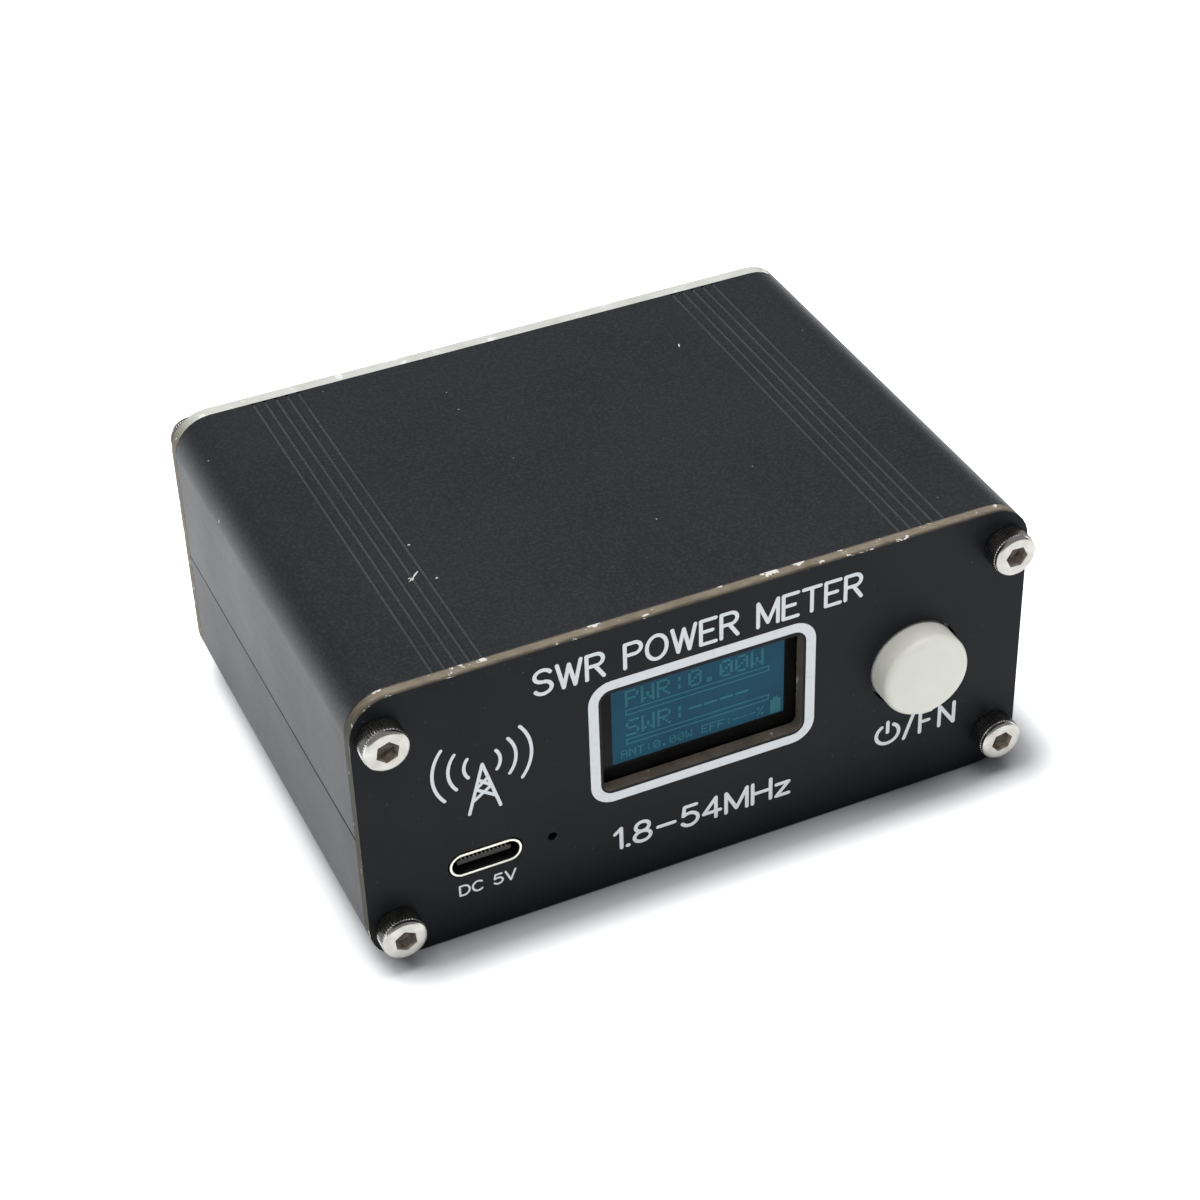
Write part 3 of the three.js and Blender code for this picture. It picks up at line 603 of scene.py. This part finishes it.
# The tactile switch: a black body under a riveted steel cover, with a sprung
# steel dome and a square stem on a round foot.
spring_steel = plated("spring_steel", (0.46, 0.46, 0.45), (0.6, 0.6, 0.58), (0.2, 0.34))
remade("switch_body", black_nylon, "black_moulding", 0.12 * MM)
remade("switch_dome", spring_steel, "switch_steel", sharp=60)
remade("switch_cover", spring_steel, "switch_steel", 0.06 * MM)
low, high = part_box("switch_cover")
rivets = bmesh.new()
for x in (low.x + 1.1 * MM, high.x - 1.1 * MM):
    for z in (low.z + 1.1 * MM, high.z - 1.1 * MM):
        made = bmesh.ops.create_uvsphere(rivets, u_segments=20, v_segments=10, radius=0.55 * MM,
                                         matrix=rotate(pi / 2, 4, "X"))["verts"]
        bmesh.ops.scale(rivets, verts=made, vec=(1.0, 0.4, 1.0))
        bmesh.ops.translate(rivets, verts=made, vec=(x, low.y, z))
piece("switch_cover_rivets", "black_moulding", rivets, black_nylon)
remade("switch_plunger", black_nylon, "black_moulding", 0.15 * MM, "switch_stem", 35, "button")

# --- display
# A small graphic display glass lies close behind the window, black round its
# lit field. The field glows a hazy blue green; the readout's dots are paler.
GLASS_LOW, GLASS_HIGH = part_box("display_glass")
FIELD_X, FIELD_Z = (-10.85, 11.3), (16.7, 27.75)
DOT = 0.1727
DOT_START = -10.5


def glassy(name, dark, light, roughness, glow=0.0):
    f = Finish(name, specular=0.08)
    haze = f.noise(160, 3.0)
    tint = f.tones(haze, dark, light)
    f.colour(tint)
    f.rough(f.between(haze, roughness, roughness + 0.1))
    f.relief(f.noise(2200), 0.002 * MM, 0.3)
    if glow:
        f.feed("Emission Color", tint)
        f.feed("Emission Strength", glow)
    return f.material


remade("display_board", board_green, "board_laminate", 0.05 * MM)
soft_block("display_pane", "display_glass",
           glassy("black_display_glass", grey(0.004), grey(0.006), 0.15), 0.12 * MM,
           *zip(GLASS_LOW, GLASS_HIGH), node="display_glass")

FIELD_FACE = GLASS_LOW.y - 0.02 * MM
DOT_FACE = GLASS_LOW.y - 0.05 * MM
field = bmesh.new()
block(field, [x * MM for x in FIELD_X], (FIELD_FACE, GLASS_LOW.y + 0.02 * MM),
      [z * MM for z in FIELD_Z])
piece("display_field", "display_glass", field,
      glassy("lit_display_field", (0.003, 0.034, 0.06), (0.005, 0.046, 0.078), 0.3, glow=0.36))

# Five by seven dot letters, top row first.
DOT_LETTERS = {
    "P": "11110 10001 10001 11110 10000 10000 10000",
    "W": "10001 10001 10001 10101 10101 11011 10001",
    "R": "11110 10001 10001 11110 10100 10010 10001",
    "S": "01111 10000 10000 01110 00001 00001 11110",
    "A": "01110 10001 10001 11111 10001 10001 10001",
    "N": "10001 11001 10101 10101 10011 10001 10001",
    "T": "11111 00100 00100 00100 00100 00100 00100",
    "E": "11111 10000 10000 11110 10000 10000 11111",
    "F": "11111 10000 10000 11110 10000 10000 10000",
    "0": "01110 10001 10011 10101 11001 10001 01110",
    ":": "00000 00100 00100 00000 00100 00100 00000",
    ".": "00000 00000 00000 00000 00000 01100 01100",
    "-": "00000 00000 00000 11111 00000 00000 00000",
    "%": "11001 11010 00010 00100 01000 01011 10011",
    " ": "",
}


def lit(bm, column, row, wide, high):
    """A lit block of dots, counted from the field's top left corner."""
    left = (DOT_START + column * DOT) * MM
    top = (FIELD_Z[1] - row * DOT) * MM
    block(bm, (left, left + wide * DOT * MM), (DOT_FACE, FIELD_FACE), (top - high * DOT * MM, top))


def dot_words(bm, words, column, row, size, pitch):
    for i, letter in enumerate(words):
        for r, line in enumerate(DOT_LETTERS[letter].split()):
            for c, on in enumerate(line):
                if on == "1":
                    lit(bm, column + i * pitch + c * size, row + r * size, size * 0.92, size * 0.92)


def gauge(bm, column, row, wide, high):
    """An empty bar gauge: a thin rectangle."""
    for r in (row, row + high - 1):
        lit(bm, column, r, wide, 1)
    for c in (column, column + wide - 1):
        lit(bm, c, row + 1, 1, high - 2)


readout = bmesh.new()
dot_words(readout, "PWR:0.00W", 8, 4, 2, 11.6)
gauge(readout, 8, 20, 107, 5)
dot_words(readout, "SWR:----", 8, 29, 2, 11.6)
gauge(readout, 8, 45, 107, 5)
dot_words(readout, "ANT:0.00W EFF:---%", 4, 54, 1, 6)
lit(readout, 118, 49, 4, 2)
lit(readout, 116, 51, 8, 12)
piece("display_readout", "display_glass", readout,
      glassy("lit_display_dots", (0.014, 0.08, 0.1), (0.02, 0.1, 0.12), 0.3, glow=0.42))

# --- end panels
# Circuit boards 1.6 mm thick close both ends. Their faces carry a black
# solder mask; the routed rims and cut-outs are bare glass laminate, tan
# with pale plies, and a few pale chips where the router has lifted fibres.
# On the rear rim the laminate is painted pale as a painted highlight; on the
# rims' left and right ends, the front arrises and the window's walls it is
# painted dark as painted shade; the walls of the other cut-outs take the
# black mask as painted shade.
FRONT_LOW, FRONT_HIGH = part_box("front_panel")
FRONT_FACE, REAR_FACE = FRONT_LOW.y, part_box("rear_panel")[1].y
PANEL_EASE = 0.1 * MM
PANEL_RIM = 6.0 * MM
WINDOW_HALF = 15.0 * MM
SIDE_SHADE_REACH = (40.3 * MM, 43.6 * MM)

mask = Finish("black_solder_mask", specular=0.1)
weave = mask.noise(1.0, 2.0, 0.5, along=mask.stretched(1600, 1600, 5200))
specks = mask.above(mask.noise(2300, 1.0, 0.4), 0.775, 0.81)
tone = mask.tones(mask.noise(120, 3.0), (0.006, 0.0066, 0.0084), (0.008, 0.0087, 0.0108))
mask.colour(mask.mix(mask.between(specks, 0.0, 0.25), tone, grey(0.12)))
mask.rough(mask.between(mask.noise(900, 3.0), 0.4, 0.5))
mask.relief(weave, 0.003 * MM, 0.3)
mask.relief(mask.noise(9000), 0.003 * MM, 0.4)


def laminate_edge(name, dark, light, chip, chip_share, sides=None, smear=None):
    """Sawn laminate. Towards the panel's left and right ends it turns to the
    tones of sides, painted shade; smear is how dark mask dragged over the arrises is."""
    f = Finish(name, specular=0.12)
    plies = f.noise(1.0, 2.0, 0.6, along=f.stretched(900, 9000, 900))
    stain = f.noise(260, 4.0, 0.6)

    def layers(low, high):
        return f.mix(0.5, f.tones(plies, low, high), f.tones(stain, low, high))

    colour = layers(dark, light)
    if smear:
        through = f.between(f.axis("Y"), 0.0, 1.0, FRONT_LOW.y, FRONT_HIGH.y)
        wavy = f.mix(0.18, through, stain)
        colour = f.mix(1.0, colour, f.steps(wavy, (0.16, grey(smear)), (0.42, grey(1.0)),
                                            (0.78, grey(1.0)), (0.95, grey(smear))), "MULTIPLY")
    if sides:
        out = f.sum_of("ABSOLUTE", f.axis("X"))
        ragged = f.sum_of("MULTIPLY_ADD", stain, 3.0 * MM, out)
        colour = f.mix(f.between(ragged, 0.0, 1.0, *SIDE_SHADE_REACH), colour, layers(*sides))
    chips = f.above(f.noise(520, 3.0, 0.6), 1.0 - chip_share, 1.04 - chip_share)
    f.colour(f.mix(f.between(chips, 0.0, 0.8), colour, chip))
    f.rough(f.between(stain, 0.55, 0.8))
    f.relief(plies, 0.02 * MM, 0.6)
    f.relief(chips, 0.03 * MM, 0.5)
    return f.material


# Dark tones painted on the panels' left and right ends and on the front panel's arrises, as painted
# shade.
PAINTED_SHADE_TONES = ((0.022, 0.019, 0.013), (0.105, 0.092, 0.066))
tan_edge = laminate_edge("tan_laminate_edge", (0.12, 0.095, 0.07), (0.3, 0.26, 0.2),
                         (0.8, 0.79, 0.74), 0.385, PAINTED_SHADE_TONES, 0.25)
# The rear panel's rim is a pale copy of the laminate, a painted highlight; its ends darken as
# painted shade.
pale_edge = laminate_edge("laminate_edge_painted_highlight", (0.48, 0.475, 0.43), (0.66, 0.665, 0.64),
                          (0.8, 0.8, 0.78), 0.38, ((0.1, 0.085, 0.06), (0.24, 0.21, 0.16)))
brown_edge = laminate_edge("laminate_bevel_painted_shade", *PAINTED_SHADE_TONES, (0.66, 0.64, 0.56), 0.42)
# The window's walls take a dark copy of the laminate as painted shade.
wall_edge = laminate_edge("laminate_wall_painted_shade", (0.055, 0.046, 0.037), (0.15, 0.125, 0.098),
                          (0.45, 0.42, 0.36), 0.36)


def panel(node, rim_finish):
    bm = cad_mesh(node)
    for face in bm.faces:
        middle, out = face.calc_center_median(), face.normal
        rim = (abs(middle.x) > CASE_W / 2 - PANEL_RIM
               or abs(middle.z - CASE_H / 2) > CASE_H / 2 - PANEL_RIM)
        outward = Vector((middle.x, 0.0, middle.z - CASE_H / 2)).dot(out) > 0
        # Walls of the holes outside the window keep the black mask, as painted shade.
        face.material_index = 0
        if abs(out.y) <= 0.9 and (rim and outward or abs(middle.x) < WINDOW_HALF):
            face.material_index = 1 if rim and outward else 3
    ease(bm, sharp_edges(bm, 60), PANEL_EASE)
    # The front panel's eased arrises take the dark bevel laminate as painted shade.
    for face in bm.faces:
        if 0.2 < abs(face.normal.y) < 0.95 and face.calc_center_median().y < 0:
            face.material_index = 2
    piece(f"{node}_plate", "panel_laminate", bm, mask.material, rim_finish, brown_edge, wall_edge,
          node=node, even=True)


panel("front_panel", tan_edge)
panel("rear_panel", pale_edge)

# --- panel printing
# White ink screened on the front panel: a title over the window, a border
# round it, the frequency range, the legends of port and button, and an aerial
# emblem. The strokes have round ends and stand just proud.
INK_RISE = 0.03 * MM
BORDER_X, BORDER_Z = (-14.45, 14.45), (12.95, 30.7)
BORDER_CORNER, BORDER_WIDTH = 2.9 * MM, 1.25 * MM


def curve_of(x, y, rx, ry, start, end, steps=14):
    """Points on an oval arc, angles in degrees."""
    angles = [radians(start + (end - start) * i / steps) for i in range(steps + 1)]
    return [(x + rx * cos(a), y + ry * sin(a)) for a in angles]


def bars(*points):
    """Straight strokes from each point to the next."""
    return [[a, b] for a, b in zip(points, points[1:])]


STEM = ((0, 0), (0, 1))
BOWL = (curve_of(0.36, 0.76, 0.24, 0.24, 90, -90), ((0, 1), (0.36, 1)), ((0, 0.52), (0.36, 0.52)))
# Each letter for a capital height of one: its width, then its curves, as
# lists of points, and its straight strokes, as tuples of points.
LETTERS = {
    "S": (0.62, curve_of(0.31, 0.755, 0.3, 0.245, 25, 262),
          curve_of(0.31, 0.255, 0.31, 0.255, 82, -155)),
    "A": (0.72, ((0, 0), (0.36, 1), (0.72, 0)), ((0.13, 0.34), (0.59, 0.34))),
    "X": (0.64, ((0, 0), (0.64, 1)), ((0, 1), (0.64, 0))),
    "W": (0.86, ((0, 1), (0.22, 0), (0.43, 0.92), (0.64, 0), (0.86, 1))),
    "R": (0.62, STEM, *BOWL, ((0.3, 0.52), (0.62, 0))),
    "P": (0.6, STEM, *BOWL),
    "O": (0.74, curve_of(0.37, 0.5, 0.37, 0.5, 0, 360, 28)),
    "E": (0.56, ((0.56, 0), (0, 0), (0, 1), (0.56, 1)), ((0, 0.52), (0.44, 0.52))),
    "M": (0.76, ((0, 0), (0, 1), (0.38, 0.1), (0.76, 1), (0.76, 0))),
    "T": (0.66, ((0, 1), (0.66, 1)), ((0.33, 1), (0.33, 0))),
    "H": (0.66, STEM, ((0.66, 0), (0.66, 1)), ((0, 0.5), (0.66, 0.5))),
    "D": (0.64, ((0.26, 0), (0, 0), (0, 1), (0.26, 1)), curve_of(0.26, 0.5, 0.38, 0.5, 90, -90)),
    "C": (0.64, curve_of(0.37, 0.5, 0.37, 0.5, 48, 312, 20)),
    "V": (0.66, ((0, 1), (0.33, 0), (0.66, 1))),
    "F": (0.54, ((0, 0), (0, 1), (0.54, 1)), ((0, 0.52), (0.44, 0.52))),
    "N": (0.66, ((0, 0), (0, 1), (0.66, 0), (0.66, 1))),
    "z": (0.46, ((0, 0.6), (0.46, 0.6), (0, 0), (0.46, 0))),
    "1": (0.22, ((0, 0.78), (0.22, 1), (0.22, 0))),
    "4": (0.6, ((0.44, 0), (0.44, 1), (0, 0.3), (0.6, 0.3))),
    "5": (0.58, ((0.52, 1), (0.1, 1), (0.05, 0.56)), curve_of(0.28, 0.32, 0.3, 0.32, 130, -150)),
    "8": (0.58, curve_of(0.29, 0.76, 0.24, 0.24, 0, 360, 20),
          curve_of(0.29, 0.26, 0.29, 0.26, 0, 360, 20)),
    ".": (0.04, ((0, 0.02), (0.04, 0.02))),
    "-": (0.7, ((0.05, 0.44), (0.65, 0.44))),
    "/": (0.42, ((0, -0.06), (0.42, 1.06))),
    " ": (0.36,),
}
LETTER_GAP = 0.21


def lettering(words, left, right, base, height, stroke):
    """The words' strokes, drawn to reach exactly from left to right."""
    widths = [LETTERS[c][0] for c in words]
    natural = sum(widths) + LETTER_GAP * (len(words) - 1)
    squeeze = (right - left - stroke) / (natural * height)
    strokes, x = [], 0.0
    for letter, width in zip(words, widths):
        for path in LETTERS[letter][1:]:
            for line in bars(*path) if isinstance(path, tuple) else [path]:
                strokes.append([(left + stroke / 2 + (x + px) * height * squeeze,
                                 base + stroke / 2 + py * (height - stroke)) for px, py in line])
        x += width + LETTER_GAP
    return strokes


ink = Finish("white_screen_ink", specular=0.4)
wear = ink.noise(1100, 3.0, 0.6)
ink.colour(ink.steps(wear, (0.28, (0.55, 0.565, 0.58)), (0.46, (0.61, 0.63, 0.65))))
ink.rough(ink.between(wear, 0.42, 0.6))
ink.relief(ink.noise(5200), 0.008 * MM, 0.5)


def printed(name, strokes, width, face=FRONT_FACE):
    """Round strokes, flattened on to a panel's face. Points are in
    millimetres as (x, z)."""
    curve = bpy.data.curves.new(name, "CURVE")
    curve.dimensions = "3D"
    curve.bevel_depth = width / 2 * MM
    curve.bevel_resolution = 2
    for line in strokes:
        spline = curve.splines.new("POLY")
        spline.points.add(len(line) - 1)
        for point, (x, z) in zip(spline.points, line):
            point.co = (x * MM, 0.0, z * MM, 1.0)
    drawn = bpy.data.objects.new(f"{name}_line", curve)
    bm = bmesh.new()
    bm.from_mesh(drawn.to_mesh())
    drawn.to_mesh_clear()
    bpy.data.objects.remove(drawn)
    bmesh.ops.holes_fill(bm, edges=open_edges(bm))
    for x, z in {p for line in strokes for p in (line[0], line[-1])}:
        bmesh.ops.create_uvsphere(
            bm, u_segments=12, v_segments=6, radius=width / 2 * MM,
            matrix=shift((x * MM, 0.0, z * MM)) @ rotate(pi / 2, 4, "X"))
    bmesh.ops.scale(bm, verts=bm.verts, vec=(1.0, 2 * INK_RISE / (width * MM), 1.0))
    bmesh.ops.translate(bm, verts=bm.verts, vec=(0.0, face, 0.0))
    piece(name, "panel_laminate", bm, ink.material, sharp=60)


# Each line: left end, right end, foot, letter height and stroke, in millimetres.
for name, words, *line in (("title_print", "SWR POWER METER", -21.0, 20.5, 31.6, 3.8, 0.5),
                           ("range_print", "1.8-54MHz", -11.9, 11.5, 5.1, 3.5, 0.5),
                           ("port_print", "DC 5V", -31.4, -24.2, 6.0, 1.7, 0.26)):
    printed(name, lettering(words, *line), line[-1])

LEGEND_BASE, LEGEND_STROKE = 7.8, 0.5
power_mark = [curve_of(24.65, LEGEND_BASE + 1.65, 1.55, 1.45, 122, 418, 24),
              [(24.65, LEGEND_BASE + 1.9), (24.65, LEGEND_BASE + 3.45)]]
for letter, left, right in (("/", 26.7, 28.4), ("F", 28.9, 30.9), ("N", 31.6, 34.1)):
    power_mark += lettering(letter, left, right, LEGEND_BASE, 3.5, LEGEND_STROKE)
printed("button_print", power_mark, LEGEND_STROKE)

# The aerial emblem: a lattice mast with three waves going out on each side.
MAST_X, MAST_TOP, MAST_FOOT = -27.5, 24.6, 17.9
emblem = bars((-1.9, MAST_FOOT), (0, MAST_TOP), (1.9, MAST_FOOT))
for side in (-1, 1):
    emblem += bars((side * 1.45, 19.5), (-side * 0.95, 21.2), (side * 0.6, 22.5))
emblem += [curve_of(0, MAST_TOP, r, r, side + 38, side - 38)
           for r in (2.2, 4.1, 6.0) for side in (0, 180)]
printed("emblem_print", [[(MAST_X + x, z) for x, z in line] for line in emblem], 0.42)

border = bmesh.new()
(left, right), (foot, top) = BORDER_X, BORDER_Z
border.faces.new([border.verts.new((x * MM, FRONT_FACE - INK_RISE, z * MM))
                  for x, z in ((left, foot), (right, foot), (right, top), (left, top))])
bmesh.ops.bevel(border, geom=border.verts[:], offset=BORDER_CORNER, segments=8, profile=0.5,
                affect="VERTICES", material=-1)
bmesh.ops.inset_individual(border, faces=border.faces[:], thickness=BORDER_WIDTH,
                           use_even_offset=True)
inner = max(border.faces, key=lambda f: len(f.verts))
bmesh.ops.delete(border, geom=[inner], context="FACES")
grown = bmesh.ops.extrude_face_region(border, geom=border.faces[:], use_keep_orig=True)
bmesh.ops.translate(border, verts=points_of(grown), vec=(0.0, INK_RISE, 0.0))
face_out(border)
piece("border_print", "panel_laminate", border, ink.material)

# Behind, each jack is marked; the words are reversed in X to read from there.
for words, x in (("TX", -20.0), ("ANT", 20.0)):
    half = 1.5 * len(words)
    marks = lettering(words, -half, half, 31.4, 3.2, 0.5)
    printed(f"{words.lower()}_print", [[(x - px, pz) for px, pz in line] for line in marks], 0.5,
            face=REAR_FACE)

# --- push button
# A turned-looking moulded cap in warm white plastic, with a soft edge and a
# faint crown. Its flange keeps it behind the panel, and a square pocket grips
# the switch stem.
CAP_LOW, CAP_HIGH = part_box("button_cap")
CAP_X, CAP_Z = (CAP_LOW.x + CAP_HIGH.x) / 2, (CAP_LOW.z + CAP_HIGH.z) / 2
CAP_FRONT, CAP_BACK = CAP_LOW.y, CAP_HIGH.y
CAP_R = 5.65 * MM
CAP_SOFT = 1.15 * MM
FLANGE_R = 6.68 * MM
FLANGE_FRONT = CAP_BACK - 0.9 * MM
STEM_HALF = 1.95 * MM
POCKET_END = -31.3 * MM


plastic = Finish("warm_white_plastic", ior=1.46, specular=0.45)
plastic.colour(plastic.tones(plastic.noise(140, 3.0), (0.605, 0.602, 0.54), (0.66, 0.657, 0.595)))
plastic.rough(plastic.between(plastic.noise(600), 0.38, 0.48))
plastic.feed("Subsurface Weight", 0.15)
plastic.feed("Subsurface Radius", (0.8 * MM, 0.6 * MM, 0.4 * MM))
plastic.feed("Subsurface Scale", 1.0)
plastic.relief(plastic.noise(4200), 0.006 * MM, 0.4)


edge = [(CAP_R - CAP_SOFT + CAP_SOFT * sin(a), CAP_FRONT + CAP_SOFT - CAP_SOFT * cos(a))
        for a in (radians(9 * i) for i in range(11))]
crown = [(0.0, CAP_FRONT), (CAP_R * 0.5, CAP_FRONT + 0.015 * MM)]
cap_profile = crown + [(r, y + 0.04 * MM if i < 3 else y) for i, (r, y) in enumerate(edge)] + [
    (CAP_R, FLANGE_FRONT - 0.15 * MM), (CAP_R + 0.15 * MM, FLANGE_FRONT),
    (FLANGE_R - 0.1 * MM, FLANGE_FRONT), (FLANGE_R, FLANGE_FRONT + 0.1 * MM),
    (FLANGE_R, CAP_BACK - 0.1 * MM), (FLANGE_R - 0.1 * MM, CAP_BACK), (STEM_HALF * 1.6, CAP_BACK)]
cap = turned(cap_profile, (CAP_X, CAP_Z))
mouth = open_edges(cap)
collar = bmesh.ops.create_circle(
    cap, segments=4, radius=STEM_HALF * sqrt(2),
    matrix=shift((CAP_X, CAP_BACK, CAP_Z)) @ rotate(pi / 2, 4, "X") @ rotate(pi / 4, 4, "Z"))
bmesh.ops.subdivide_edges(cap, edges=list({e for v in collar["verts"] for e in v.link_edges}),
                          cuts=15)
bmesh.ops.bridge_loops(cap, edges=mouth + [e for e in cap.edges if e.is_wire])
deep = bmesh.ops.extrude_edge_only(cap, edges=open_edges(cap))
bmesh.ops.translate(cap, verts=points_of(deep), vec=(0.0, POCKET_END - CAP_BACK, 0.0))
bmesh.ops.holes_fill(cap, edges=open_edges(cap))
face_out(cap)
piece("button_cap_moulding", "cap_plastic", cap, plastic.material, node="button_cap", body="button")

# --- panel screws
# M3 socket-head cap screws, nickel plated, four to a panel. The head is
# straight knurled round its side and has a turned, bevelled rim; the hexagon
# socket is broached, with a drilled floor, and its walls and floor take a
# separate brown-grey finish.
HEAD_R, HEAD_H = 2.75 * MM, 3.0 * MM
SHANK_R, SHANK_L = 1.45 * MM, 8.0 * MM
HEAD_FLAT_R, SOCKET_MOUTH_R = 2.2 * MM, 1.62 * MM
SOCKET_FLAT, SOCKET_DEPTH = 2.5 * MM, 1.6 * MM
KNURL_DEPTH = 0.14 * MM
KNURL_TEETH = 48
THREAD_PITCH = 0.5 * MM

nickel = plated("nickel_plating", (0.39, 0.375, 0.345), (0.51, 0.495, 0.46), (0.15, 0.28))
socket_dark = moulded("brown_grey_socket", (0.16, 0.125, 0.09), (0.42, 0.38, 0.33), (0.25, 0.45), 1400)


def cap_screw():
    """A screw standing at the origin with its head towards -Y."""
    flank = HEAD_R - KNURL_DEPTH
    profile = [(SOCKET_MOUTH_R, -HEAD_H), (HEAD_FLAT_R, -HEAD_H),
               (HEAD_FLAT_R + 0.22 * MM, -HEAD_H + 0.06 * MM),
               (HEAD_FLAT_R + 0.42 * MM, -HEAD_H + 0.22 * MM),
               (flank + 0.02 * MM, -HEAD_H + 0.42 * MM), (flank + 0.02 * MM, -HEAD_H + 0.62 * MM),
               (HEAD_R, -HEAD_H + 0.68 * MM), (HEAD_R, -0.26 * MM), (flank, -0.1 * MM),
               (flank - 0.05 * MM, 0.0), (SHANK_R + 0.1 * MM, 0.0), (SHANK_R, 0.1 * MM)]
    turns = int((SHANK_L - 1.6 * MM) / THREAD_PITCH)
    for i in range(turns):
        y = 1.0 * MM + i * THREAD_PITCH
        profile += [(SHANK_R, y), (SHANK_R, y + 0.06 * MM), (SHANK_R - 0.27 * MM, y + 0.28 * MM)]
    profile += [(SHANK_R, SHANK_L - 0.45 * MM), (SHANK_R - 0.35 * MM, SHANK_L), (0.0, SHANK_L)]
    bm = turned(profile, (0.0, 0.0), steps=KNURL_TEETH * 2)
    step = pi / KNURL_TEETH
    valley = [v for v in bm.verts
              if abs(hypot(v.co.x, v.co.z) - HEAD_R) < 0.001 * MM
              and round(atan2(v.co.z, v.co.x) / step) % 2]
    shrink = 1 - KNURL_DEPTH / HEAD_R
    bmesh.ops.scale(bm, verts=valley, vec=(shrink, 1.0, shrink))
    for vert in points_of(bmesh.ops.extrude_edge_only(bm, edges=open_edges(bm))):
        around = atan2(vert.co.z, vert.co.x)
        reach = SOCKET_FLAT / 2 / cos(around % (pi / 3) - pi / 6)
        vert.co.x, vert.co.z = reach * cos(around), reach * sin(around)
    for y, shrink in ((SOCKET_DEPTH, 1.0), (SOCKET_DEPTH + 0.02 * MM, 0.82)):
        ring = points_of(bmesh.ops.extrude_edge_only(bm, edges=open_edges(bm)))
        bmesh.ops.translate(bm, verts=ring, vec=(0.0, -HEAD_H + y - ring[0].co.y, 0.0))
        bmesh.ops.scale(bm, verts=ring, vec=(shrink, 1.0, shrink))
    floor = bmesh.ops.holes_fill(bm, edges=open_edges(bm))["faces"]
    tip = bmesh.ops.poke(bm, faces=floor)["verts"]
    bmesh.ops.translate(bm, verts=tip, vec=(0.0, 0.45 * MM, 0.0))
    face_out(bm)
    for face in bm.faces:
        middle = face.calc_center_median()
        inside = hypot(middle.x, middle.z) < SOCKET_FLAT / sqrt(3)
        face.material_index = 1 if inside and -HEAD_H + 0.25 * MM < middle.y < 0 else 0
    return bm


for side, face, turn in (("front", FRONT_FACE, 0.0), ("rear", REAR_FACE, pi)):
    for i in range(1, 5):
        low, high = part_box(f"{side}_screw_{i}")
        screw = cap_screw()
        spot = shift(((low.x + high.x) / 2, face, (low.z + high.z) / 2))
        driven = rotate(radians(17 + 23 * i), 4, "Y")
        bmesh.ops.transform(screw, verts=screw.verts,
                            matrix=spot @ rotate(turn, 4, "Z") @ driven)
        piece(f"{side}_cap_screw_{i}", "screw_steel", screw, nickel, socket_dark,
              node=f"{side}_screw_{i}", sharp=28)

# --- stage
# A white sweep for the floor under a large soft box, with a weaker one in
# front and a pale, even sky. The sweep glows a little, rising towards the
# rear as painted light, but not close round the meter, where its glow and
# colour are darkened as a painted shadow.
scene = bpy.context.scene
SHADE_CENTRE = (3.0 * MM, -3.0 * MM, 0.0)
SHADE_HALF = (38.5 * MM, 28.0 * MM, 0.0)
grid = bmesh.new()
bmesh.ops.create_grid(grid, x_segments=1, y_segments=1, size=4.0)
sweep = bpy.data.meshes.new("floor")
grid.to_mesh(sweep)
grid.free()
floor = put("floor", sweep)
paper = Finish("white_paper_floor", specular=0.2)
away = paper.place
for operation, *value in (("SUBTRACT", SHADE_CENTRE), ("ABSOLUTE",), ("SUBTRACT", SHADE_HALF),
                          ("MAXIMUM", (0.0, 0.0, 0.0))):
    away = paper.sum_of(operation, away, *value, kind="VectorMath", output="Vector")
far = paper.sum_of("LENGTH", away, kind="VectorMath")
paper.feed("Emission Color", (0.96, 0.98, 1.0))
# Painted shadow: the glow fades close round the meter; painted light: it rises towards the rear.
paper.feed("Emission Strength", paper.sum_of(
    "MULTIPLY", paper.between(far, 0.0, 0.85, 3.5 * MM, 10.0 * MM),
    paper.between(paper.axis("Y"), 0.77, 1.25, -30.0 * MM, 60.0 * MM)))
# Painted shadow: the colour darkens close round the meter.
paper.colour(paper.mix(paper.between(far, 0.0, 1.0, 0.0, 9.0 * MM),
                       (0.17, 0.18, 0.2), (0.87, 0.87, 0.87)))
paper.rough(paper.between(paper.noise(40.0), 0.85, 0.95))
sweep.materials.append(paper.material)
floor.location.z = -0.2 * MM

world = bpy.data.worlds.new("studio")
world.use_nodes = True
sky = world.node_tree.nodes["Background"].inputs
sky["Color"].default_value = (0.95, 0.975, 1.0, 1.0)
sky["Strength"].default_value = 0.34
scene.world = world


def softbox(name, place, watts):
    data = bpy.data.lights.new(name, "AREA")
    data.shape = "RECTANGLE"
    data.size, data.size_y = 0.8, 0.6
    data.energy = watts
    aim = Vector((0.0, 0.0, 20.0 * MM)) - Vector(place)
    aimed = aim.to_track_quat("-Z", "Y").to_matrix().to_4x4()
    put(name, data).matrix_world = shift(place) @ aimed


softbox("overhead_light", (0.0, -0.02, 1.1), 10.8)
softbox("front_light", (-0.1, -0.65, 0.95), 1.2)

CAMERA_PLACE = (-0.10599, -0.24677, 0.21977)
AZIMUTH, DOWN, ROLL = (radians(a) for a in (23.478, 37.094, -1.986))
lens = bpy.data.cameras.new("camera")
lens.sensor_width = 36.0
lens.lens = 81.0
lens.clip_start, lens.clip_end = 0.01, 20.0
camera = put("camera", lens)
camera.matrix_world = (shift(CAMERA_PLACE) @ rotate(-AZIMUTH, 4, "Z")
                       @ rotate(pi / 2 - DOWN, 4, "X") @ rotate(ROLL, 4, "Z"))
scene.camera = camera
scene.view_settings.view_transform = "Standard"
